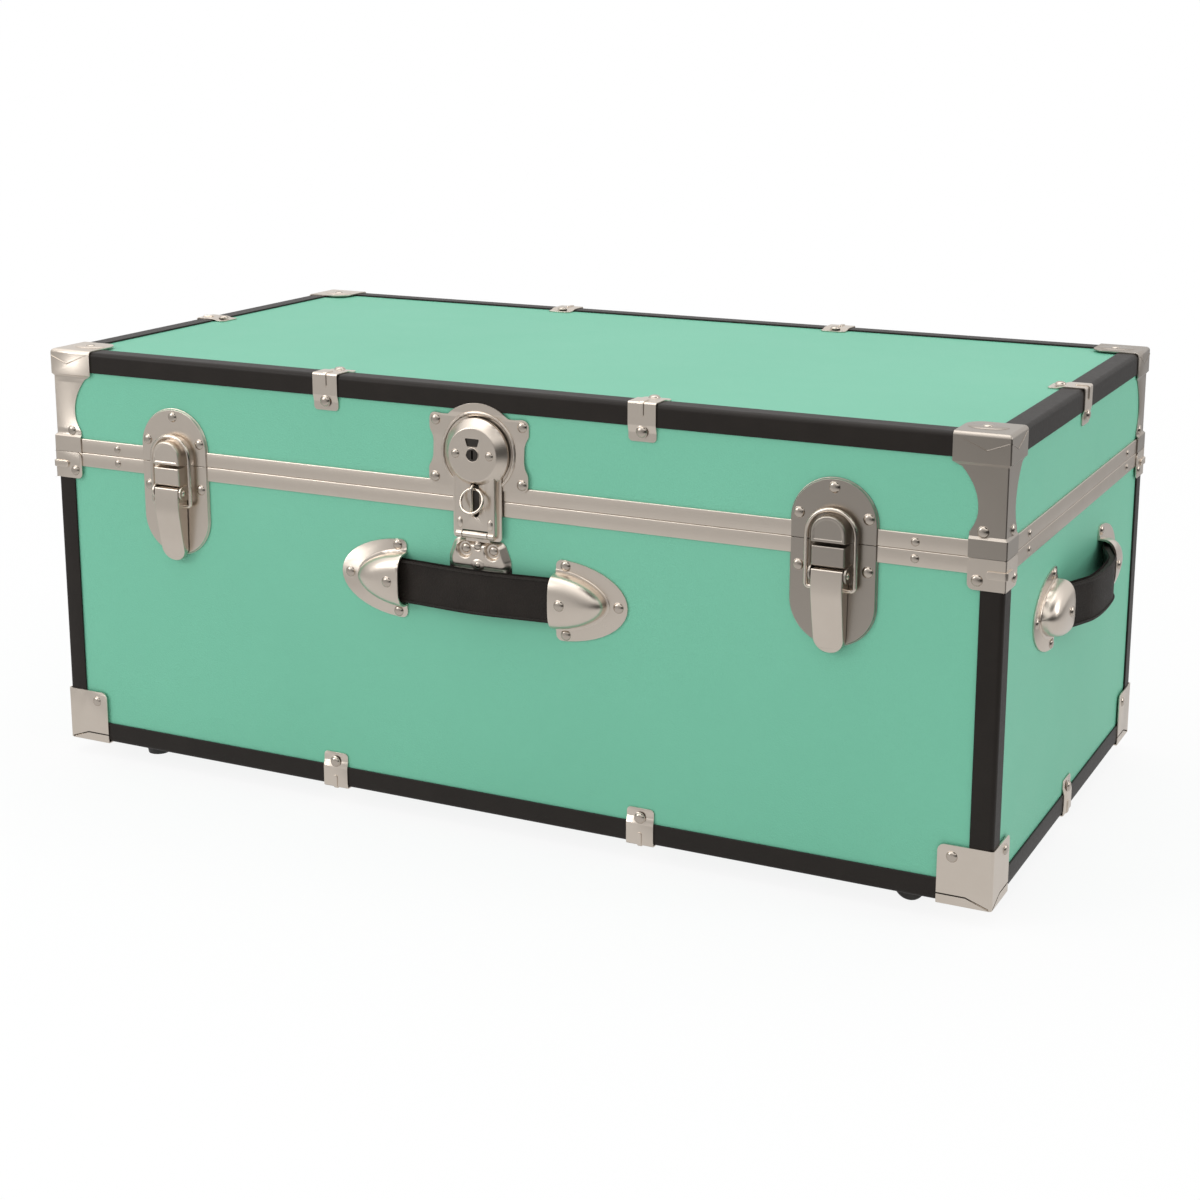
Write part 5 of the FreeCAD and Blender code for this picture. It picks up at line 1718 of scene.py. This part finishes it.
    def flap(self) -> Blank:
        """Domed case over a channel with side flanges and a rolled end, hollow behind."""
        up, pin = self.middle()
        face = self.strap_face
        skirt = Blank.outline("flap", even_sheet(self.flange_half, pin - 0.0040, up, 0.0030), self.back, 6)
        skirt.press((0, self.sheet)).outside()
        body = skirt.combine(self.case(0.0), "UNION").combine(self.case(self.wall), "DIFFERENCE")
        reach = self.knuckle_half + 0.0003
        notch = Blank.cuboid("notch", (-reach, pin - 0.01, 0), (reach, pin + 0.0035, 0.02))
        body.combine(notch, "DIFFERENCE")
        (foot, head), tall, corner = self.window_halves, 0.0029, 0.0008
        low, high = up + self.window_up - tall, up + self.window_up + tall
        middle, half, length = self.trunk.split + self.slot_up, 0.0037, 0.0125
        slot = even_sheet(half, middle - length, middle + length, half * 0.98, half * 0.98)

        def pierce(hole: Blank) -> None:
            """Cuts a hole of an outline through the face."""
            body.combine(hole.press((0, self.through)).outside(), "DIFFERENCE")

        pierce(Blank.outline("window", [
            (-foot, low, corner), (foot, low, corner), (head, high, corner), (-head, high, corner),
        ], face, 3))
        pierce(Blank.disc("bore", (0, up, face), 0.0047, 32))
        pierce(Blank.outline("slot", slot, self.back + 0.0005, 8))
        parts = [body.soften(self.soft_edge)]
        for side in (-1, 1):
            place = (side * 0.0122, pin + 0.0082, face - 0.0003)
            parts.append(Blank.ball("lug", place, (0.0023, 0.0042, 0.0014), 12).smooth())
            ends = sorted((side * reach, side * (self.strap_half - 0.0002)))
            parts.append(roller("curl", self.knuckle, ends, pin, self.pin_rise))
        bezel = Blank.torus("bezel", (0, up, self.dome[-1][1]), (0.0050, 0.0004), (48, 10))
        return joined("lock_flap_pressed", [*parts, bezel.smooth()])

    def staple(self) -> Blank:
        """The wire staple that stands in the flap's slot."""
        middle, length, bend = self.trunk.split + self.slot_up, 0.0108, 0.0024
        low, high = middle - length, middle + length
        back, crown = self.strap_face - 0.0030, self.strap_face + 0.0045
        points = [(low, back, 0), (low, crown, bend), (high, crown, bend), (high, back, 0)]
        return wire("staple", self.staple_wire, points).smooth().place(lying())

    def backing(self) -> Blank:
        """The dark strip behind the slot, which the staple is fixed to, and the dark pane behind the window;
        their darkness is painted shade for the hollows of the slot and the window.
        """
        middle, half, long = self.trunk.split + self.slot_up, 0.0078, 0.0152
        strip = Blank.cuboid("strip", (-half, middle - long, 0.0040), (half, middle + long, 0.0048))
        up, wide = self.middle()[0], 0.0080
        pane = Blank.cuboid("pane", (-wide, up + 0.0049, 0.0086), (wide, up + 0.0129, 0.0097))
        return joined("backing", [strip.soften(0.0002, 1), pane.soften(0.0002, 1)])

    def ring(self) -> Blank:
        """The ring that hangs on the staple."""
        pivot = Vector((0, self.trunk.split + self.slot_up + 0.0083, self.strap_face + 0.00125))
        tilt = math.radians(21)
        middle = pivot + Vector((0, -math.cos(tilt), math.sin(tilt))) * self.ring_radii[0]
        return Blank.torus("ring", middle, self.ring_radii, (64, 14), -tilt).smooth()

    def key(self) -> Blank:
        """The key plug with its slot."""
        up, face, half, length = self.middle()[0], self.dome[-1][1], 0.0007, 0.0032
        plug = Blank.disc("plug", (0, up, face - 0.0055), 0.0046, 40)
        plug.press((0, 0.0057), (0.0004, 0.0002), (0.0008, 0.0), (0.0002, -0.0003)).outside()
        slot = Blank.cuboid("key_slot", (-half, up - length, face - 0.003), (half, up + length, face + 0.002))
        return plug.combine(slot, "DIFFERENCE").smooth()

    def base_plate(self) -> Blank:
        """Bell-shaped plate with deep cups for its rivets, and the hinge's middle knuckle."""
        split, pin = self.trunk.split, self.middle()[1]
        high, low = split - self.base_top, split - self.base_low
        top, foot = self.base_half
        level, waist, half = self.level, low + 0.0095, self.knuckle_half
        corners = [
            (-foot, low, 0.0062), (foot, low, 0.0062), (foot, waist, 0.007), (top, high, 0.0056),
            (-top, high, 0.0056), (-foot, waist, 0.007),
        ]
        plate = Blank.outline("base", corners, 0.0, 6)
        plate.press((0, 0.0008), (0.0007, 0.0003), (0.0012, 0.0011), (0.0012, 0.0013), (0.0010, 0.0007),
                    (0.0008, 0.0002)).outside()
        across, drop = self.base_rivet
        for side in (-1, 1):
            cup = Blank.disc("cup", (side * across, split - drop, 0.0011), 0.0045, 32)
            cup.turn_stages((side * across, split - drop), *self.cup)
            plate.combine(cup.outside(), "DIFFERENCE")
        mark = Blank.ball("mark", (0, high - 0.0062, level + 0.0003), (0.0034, 0.0020, 0.0011), 10)
        plate.combine(mark, "DIFFERENCE").soften(0.00025)
        mound = Blank.ball("mound", (0, split - 0.0474, level - 0.0004), (0.0056, 0.0046, 0.0011), 14)
        barrel = roller("barrel", self.knuckle, (-half, half), pin, self.pin_rise)
        web = Blank.cuboid("web", (-half, high - 0.0012, 0.0010), (half, pin, level - 0.0004))
        return joined("lock_base_plate_pressed", [plate, mound.smooth(), barrel, web.soften(0.0006, 3)])

    def pad(self) -> Blank:
        """The black pad under the foot of the base plate."""
        split = self.trunk.split
        pad = Blank.outline("pad", even_sheet(0.0252, split - 0.061, split - 0.048, 0.007), 0.0, 6)
        return pad.press((0, 0.0005), (0.0004, 0.0002)).outside().smooth()

    def build(self) -> None:
        """Builds the lock."""
        steel, bright, dark = self.finishes.plate, self.finishes.bright, self.finishes.dark
        for node, maker, material, body in (
            ("lock_catch_plate", self.catch_plate, steel, "lid"),
            ("lock_flap", self.flap, steel, "lock_flap"),
            ("lock_ring_staple", self.staple, bright, "lock_flap"),
            ("lock_ring", self.ring, bright, "lock_ring"),
            ("lock_key_plug", self.key, dark, "key_plug"),
            ("lock_base_plate", self.base_plate, steel, "trunk_body"),
            ("lock_backing_pad", self.pad, self.finishes.leather, "trunk_body"),
            # painted shade: dark strip and pane behind the slot and the window
            ("lock_slot_backing", self.backing, dark, "lock_flap"),
        ):
            piece = maker().place(self.trunk.front.matrix())
            in_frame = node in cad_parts
            piece.obj.name = node + "_formed" if in_frame else node
            install(piece, material, body, [node] if in_frame else [])


@dataclass
class CarryHandle:
    """A strap handle between two pressed caps."""

    trunk: Trunk
    finishes: Finishes
    mouth: float = 0.061
    tip: float = 0.1165
    half: float = 0.0295
    mouth_round: float = 0.0045
    dome_tip: float = 0.1005
    dome_half: float = 0.0200
    dome_rise: float = 0.0150
    dome_shape: float = 1.8
    seat: tuple[float, float] = (0.0024, 0.0006)
    sheet: float = 0.0012
    strap_width: float = 0.0294
    strap_thickness: float = 0.005
    strap_edge: tuple[tuple[float, float], ...] = ((0.0007, 0.0002), (0.0005, -0.0008), (0.0008, 0.0005))
    strap_end: float = 0.079
    strap_end_rise: float = 0.0044
    front_bow: float = 0.0104
    side_bow: float = 0.0205

    def half_oval(self, reach: float, half: float, roundness: float, level: float, corner: float) -> Blank:
        """Flat sheet in the shape of half an oval about the middle of the mouth.

        Args:
            reach: its length from the mouth.
            half: its half width at the mouth.
            roundness: 2 for an ellipse, less for a more pointed tip.
            level: its height above the face.
            corner: the radius of its two corners at the mouth.

        Returns:
            The sheet.
        """
        count, power = 22, 2 / roundness
        rim = [(self.mouth, -half, corner)]
        for i in range(1, count):
            angle = math.pi * (i / count - 0.5)
            if math.cos(angle) * reach >= corner * 1.3:
                rim.append((self.mouth + reach * math.cos(angle) ** power,
                            half * math.copysign(abs(math.sin(angle)) ** power, angle), 0))
        return Blank.outline("oval", [*rim, (self.mouth, half, corner)], level, 6)

    def dome(self, wall: float) -> Blank:
        """The dome as a solid on its low ring, or the hollow behind it for a wall thickness."""
        reach, half = self.dome_tip - self.mouth - wall, self.dome_half - wall
        ring, lift = self.seat
        grown = 0.0 if wall else ring
        level = -0.001 if wall else self.sheet * 0.5
        deep, wide = reach + grown, half + grown
        shape = self.half_oval(deep, wide, self.dome_shape, level, 0.0)
        if wall:
            shape.pick("VERT", lambda v: v.co.x < self.mouth + NEAR)
            slide((-0.001, 0, 0))
        shape.pick("FACE", lambda f: True)
        foot = 0.0 if wall else self.sheet + lift
        chamfer = 0.0005
        stages = [] if wall else [(deep, wide, foot - 0.0003), (deep - chamfer, wide - chamfer, foot)]
        rise, rows, flat, power = self.dome_rise - wall, 11, 0.1, 0.70
        for i in range(rows + 1):
            angle = math.pi / 2 * i / rows
            size = max(math.cos(angle), 0.0) ** power * (1 - flat) + flat
            stages.append((reach * size, half * size, foot + (rise - foot) * math.sin(angle) ** power))
        for long, across, height in stages:
            extrude((0, 0, max(height - level, 0.00002)))
            resize((long / deep, across / wide, 1), (self.mouth, 0, height))
            deep, wide, level = long, across, height
        return shape.outside()

    def cap(self) -> Blank:
        """The right-hand cap: a flange with a dome that opens towards the strap."""
        flange = self.half_oval(self.tip - self.mouth, self.half, 2.0, 0.0, self.mouth_round)
        flange.press((0, self.sheet)).outside()
        shell = flange.combine(self.dome(0.0), "UNION").combine(self.dome(self.sheet), "DIFFERENCE")
        return shell.soften(0.0003)

    def strap(self, name: str, path: Sequence[tuple[float, float]]) -> Blank:
        """A padded leather strap with turned edges, bent along a path.

        Args:
            name: the name of the piece.
            path: (across, out) points that the strap's middle follows.

        Returns:
            The strap, in the axes of the face, at height 0.
        """
        start_primitive()
        bpy.ops.curve.primitive_nurbs_path_add()
        line = bpy.context.object
        spline = line.data.splines[0]
        spline.points.add(len(path) - len(spline.points))
        for point, (a, out) in zip(spline.points, path):
            point.co = (a, 0, out, 1)
        spline.order_u = 3
        spline.use_endpoint_u = True
        line.data.resolution_u = 24
        line.data.twist_mode = "Z_UP"
        length = spline.calc_length()
        half, thick = self.strap_width / 2, self.strap_thickness / 2
        strap = Blank.cuboid(name, (0, -half, -thick), (length, half, thick))
        rows = 60
        for i in range(1, rows):
            strap.cut((length * i / rows, 0, 0), (1, 0, 0))
        strap.bevel(lambda e: abs(along(e).x) > FACING, 0.0011, 3)
        margin, waste = 0.003, 0.0045
        strap.pick("FACE", lambda f: abs(f.normal.z) > FACING and margin < centre(f).x < length - margin)
        for inset, rise in self.strap_edge:
            bpy.ops.mesh.inset(thickness=inset, depth=rise)
        for end, side in ((waste, -1), (length - waste, 1)):
            strap.cut((end, 0, 0), (side, 0, 0), drop=True)
        strap.modify("CURVE", object=line, deform_axis="POS_X")
        bpy.data.objects.remove(line)
        return strap.smooth()

    def front_path(self) -> list[tuple[float, float]]:
        """The nearly flat strap of the front handle."""
        knee = self.mouth
        high, low = self.front_bow, self.strap_end_rise
        right = [(knee * 0.5, (low + high) / 2 + 0.0004), (knee, low + 0.0003), (self.strap_end, low)]
        return [(-a, b) for a, b in reversed(right)] + [(0, high)] + right

    def side_path(self) -> list[tuple[float, float]]:
        """The strap of a side handle, which bows out for the hand."""
        right = [(0.026, self.side_bow), (0.046, self.side_bow * 0.62), (0.062, 0.0064),
                 (self.strap_end, self.strap_end_rise)]
        return [(-a, b) for a, b in reversed(right)] + right

    def build(self, drops: dict[str, float]) -> None:
        """Builds the three handles.

        Args:
            drops: how far each handle's middle is below the lid line, by side.
        """
        for side, drop in drops.items():
            place = getattr(self.trunk, side).at(0, self.trunk.split - drop)
            other = place @ Matrix.Scale(-1, 4, (1, 0, 0))
            caps = self.cap().spread(f"handle_caps_{side}_pressed", (place, other))
            install(caps, self.finishes.plate, "trunk_body", [f"handle_caps_{side}"])
            path = self.front_path() if side == "front" else self.side_path()
            strap = self.strap(f"handle_strap_{side}_sewn", path).place(place)
            install(strap, self.finishes.leather, "trunk_body", [f"handle_strap_{side}"])


@dataclass
class Rivets:
    """Domed rivet heads on the places of the frame's own heads."""

    finishes: Finishes
    split: float
    groups: tuple[tuple[str, str], ...] = (
        ("body_rivets", "trunk_body"), ("lid_rivets", "lid"), ("flap_rivets", "lock_flap"),
    )
    swell: tuple[float, float] = (1.1, 0.82)
    rail_reach: float = 0.008

    def head(self) -> Blank:
        """A head of radius and height one, on its own XY plane."""
        head = Blank.disc("head", (0, 0, -0.2), 1.17, 20)
        head.turn_stages((0, 0), (1.17, 0.10), (1.10, 0.17), (1.03, 0.24), (0.98, 0.50),
                         (0.84, 0.84), (0.60, 1.06), (0.28, 1.18), (0.06, 1.2))
        return head.outside().smooth()

    def heads_of(self, node: str) -> list[tuple[Vector, Vector, float, float]]:
        """Foot, direction, radius and height of every head of a node.

        Args:
            node: the node, which holds loose heads.

        Returns:
            One tuple for each head.
        """
        mesh = bmesh.new()
        mesh.from_mesh(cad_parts[node].data)
        bmesh.ops.remove_doubles(mesh, verts=mesh.verts, dist=NEAR)
        found, left = [], set(mesh.verts)
        while left:
            island, front = set(), [left.pop()]
            while front:
                vertex = front.pop()
                island.add(vertex)
                for edge in vertex.link_edges:
                    other = edge.other_vert(vertex)
                    if other in left:
                        left.discard(other)
                        front.append(other)
            points = [v.co.copy() for v in island]
            low = Vector([min(p[i] for p in points) for i in range(3)])
            high = Vector([max(p[i] for p in points) for i in range(3)])
            size = high - low
            axis = min(range(3), key=lambda i: size[i])
            middle = (low + high) / 2
            wide = {s: max((p - middle).length for p in points if abs(p[axis] - e[axis]) < NEAR)
                    for s, e in ((-1, low), (1, high))}
            sign = 1 if wide[-1] > wide[1] else -1
            direction = Vector([sign if i == axis else 0 for i in range(3)])
            foot = middle - direction * size[axis] / 2
            found.append((foot, direction, max(size) / 2, size[axis]))
        mesh.free()
        return sorted(found, key=lambda row: tuple(round(c, 5) for c in row[0]))

    def build(self) -> None:
        """Builds the heads of all three groups."""
        for node, body in self.groups:
            places = []
            for foot, direction, radius, rise in self.heads_of(node):
                turn = Vector((0, 0, 1)).rotation_difference(direction).to_matrix().to_4x4()
                swell = self.swell[abs(foot.z - self.split) < self.rail_reach]
                size = Matrix.Diagonal((radius * swell, radius * swell, rise * swell, 1))
                places.append(Matrix.Translation(foot) @ turn @ size)
            heads = self.head().spread(node + "_domed", places)
            install(heads, self.finishes.rivet, body, [node])


@dataclass
class Studio:
    """Camera, floor, lamps and the light around."""

    trunk: Trunk
    place: Corner = (0.71969, -1.45282, 0.58803)
    right: Corner = (0.89584, 0.44437, 0.00098)
    down: Corner = (0.09849, -0.19641, -0.97556)
    forward: Corner = (-0.43332, 0.87405, -0.21972)
    image: float = 1200.0
    focal: float = 2103.06
    principal: tuple[float, float] = (601.65, 480.72)
    sensor: float = 36.0

    def camera(self) -> None:
        """The camera at the photograph's place, angle and framing."""
        data = bpy.data.cameras.new("camera")
        data.sensor_width, data.clip_end = self.sensor, 100.0
        data.lens = self.focal / self.image * self.sensor
        data.shift_x = -(self.principal[0] - self.image / 2) / self.image
        data.shift_y = (self.principal[1] - self.image / 2) / self.image
        camera = bpy.data.objects.new("camera", data)
        bpy.context.scene.collection.objects.link(camera)
        right, up, back = Vector(self.right), -Vector(self.down), -Vector(self.forward)
        place = Vector(self.place) + Vector((0, self.trunk.mid_y, 0))
        rows = [(right[i], up[i], back[i], place[i]) for i in range(3)]
        camera.matrix_world = Matrix((*rows, (0, 0, 0, 1)))
        bpy.context.scene.camera = camera

    def lamp(self, name: str, place: Corner, aim: Corner, size: tuple[float, float], power: float) -> None:
        """A soft rectangular lamp.

        Args:
            name: its name.
            place: where it stands.
            aim: the point that it faces.
            size: its width and height.
            power: its power in watts.
        """
        data = bpy.data.lights.new(name, "AREA")
        data.shape = "RECTANGLE"
        data.size, data.size_y = size
        data.energy = power
        lamp = bpy.data.objects.new(name, data)
        bpy.context.scene.collection.objects.link(lamp)
        lamp.location = place
        lamp.rotation_euler = (Vector(aim) - Vector(place)).to_track_quat("-Z", "Y").to_euler()

    def floor(self) -> None:
        """A white floor that keeps a faint shadow, and is a grey sweep in reflections."""
        start_primitive()
        bpy.ops.mesh.primitive_plane_add(size=30, location=(0, 0, 0))
        plane = bpy.context.object
        plane.name = "floor"
        recipe, material = Recipe.material("floor")
        x, y, _ = recipe.axes()
        away = (x * x + y * y).power(0.5)
        dark = recipe.mix(recipe.ramp(away * 0.5, (0.34, 1), (0.60, 0)), grey(0.49), grey(0.70))
        flag = recipe.ramp(x * 0.18 - y * 0.086 + 0.4, (0.53, 0), (0.66, 1))
        dark = recipe.mix(flag, dark, grey(0.03))
        far = recipe.ramp(away * 0.4, (0.25, 0.88), (0.75, 1))
        diffuse = recipe.node("BsdfDiffuse", inputs={"Color": grey(0.90)})
        white = recipe.node("Emission", inputs={"Color": grey(1), "Strength": 1.0})
        sweep = recipe.node("Emission", inputs={"Color": dark, "Strength": 1.0})
        seen = recipe.node("LightPath", output="Is Camera Ray") * far
        lit = recipe.node("MixShader", inputs={0: seen, 1: diffuse, 2: white})
        glossy = recipe.node("LightPath", output="Is Glossy Ray")
        shader = recipe.node("MixShader", inputs={0: glossy, 1: lit, 2: sweep})
        recipe.finish("OutputMaterial", shader)
        dress(plane, material)

    def surroundings(self) -> None:
        """A white background for the camera, even light for matt surfaces, and for reflections a
        room with a bright ceiling, a grey front and a dark right."""
        world = bpy.data.worlds.new("studio")
        bpy.context.scene.world = world
        world.use_nodes = True
        recipe = Recipe(world.node_tree)
        x, y, z = recipe.axes("Generated")
        height = z * 0.5 + 0.5
        even = recipe.ramp(height, (0.0, 0.64), (0.45, 0.64), (0.75, 0.76), (1.0, 0.90))
        room = recipe.ramp(
            height, (0.0, 0.50), (0.50, 0.45), (0.60, 0.48), (0.72, 0.85), (0.90, 1.5), (1.0, 1.2),
        )
        flag = recipe.ramp(x * 0.9 - y * 0.43 - z.math("ABSOLUTE") * 0.9, (0.45, 0), (0.75, 1))
        patch = recipe.ramp(x * 0.45 - y * 0.18 + z * 0.875, (0.930, 0), (0.965, 1))
        behind = recipe.ramp(y, (0.35, 0), (0.65, 1))
        for share, level in ((flag, 0.03), (patch, 0.02), (behind, 0.80)):
            room = recipe.mix(share, room, grey(level))
        seen, through, glossy = (
            recipe.node("LightPath", output=f"Is {kind} Ray") for kind in ("Camera", "Transmission", "Glossy")
        )
        soft = recipe.node("Background", inputs={"Color": recipe.mix(glossy, even, room), "Strength": 1.0})
        white = recipe.node("Background", inputs={"Color": grey(1), "Strength": 1.0})
        shader = recipe.node("MixShader", inputs={0: seen.math("MAXIMUM", through), 1: soft, 2: white})
        recipe.finish("OutputWorld", shader)

    def build(self) -> None:
        """Sets up the whole studio."""
        bpy.context.scene.view_settings.view_transform = "Standard"
        self.camera()
        self.floor()
        self.surroundings()
        aim = (0.0, self.trunk.mid_y, 0.15)
        self.lamp("overhead", (-0.2, 0.1, 2.4), aim, (2.4, 1.6), 14.0)
        self.lamp("left_front", (-2.0, -2.4, 1.5), aim, (1.2, 1.6), 22.0)
        self.lamp("right_strip", (2.6, 0.5, 1.4), aim, (0.5, 1.8), 12.0)


def main() -> None:
    """Builds the trunk's looks round its frame."""
    logging.basicConfig(level=logging.INFO, format="%(name)s: %(message)s")
    trunk = Trunk()
    finishes = Finishes(trunk)
    Studio(trunk).build()
    FrameNodes(finishes).build()
    Rails(trunk, finishes).build()
    EdgeBindings(trunk, finishes).build()
    CornerBrackets(trunk, finishes).build()
    EdgeClips(trunk, finishes).build(offset=0.127)
    DrawLatch(trunk, finishes).build(offset=0.2655)
    CentreLock(trunk, finishes).build()
    CarryHandle(trunk, finishes).build({"front": 0.066, "right": 0.064, "left": 0.064})
    Rivets(finishes, trunk.split).build()


if __name__ == "__main__":
    main()
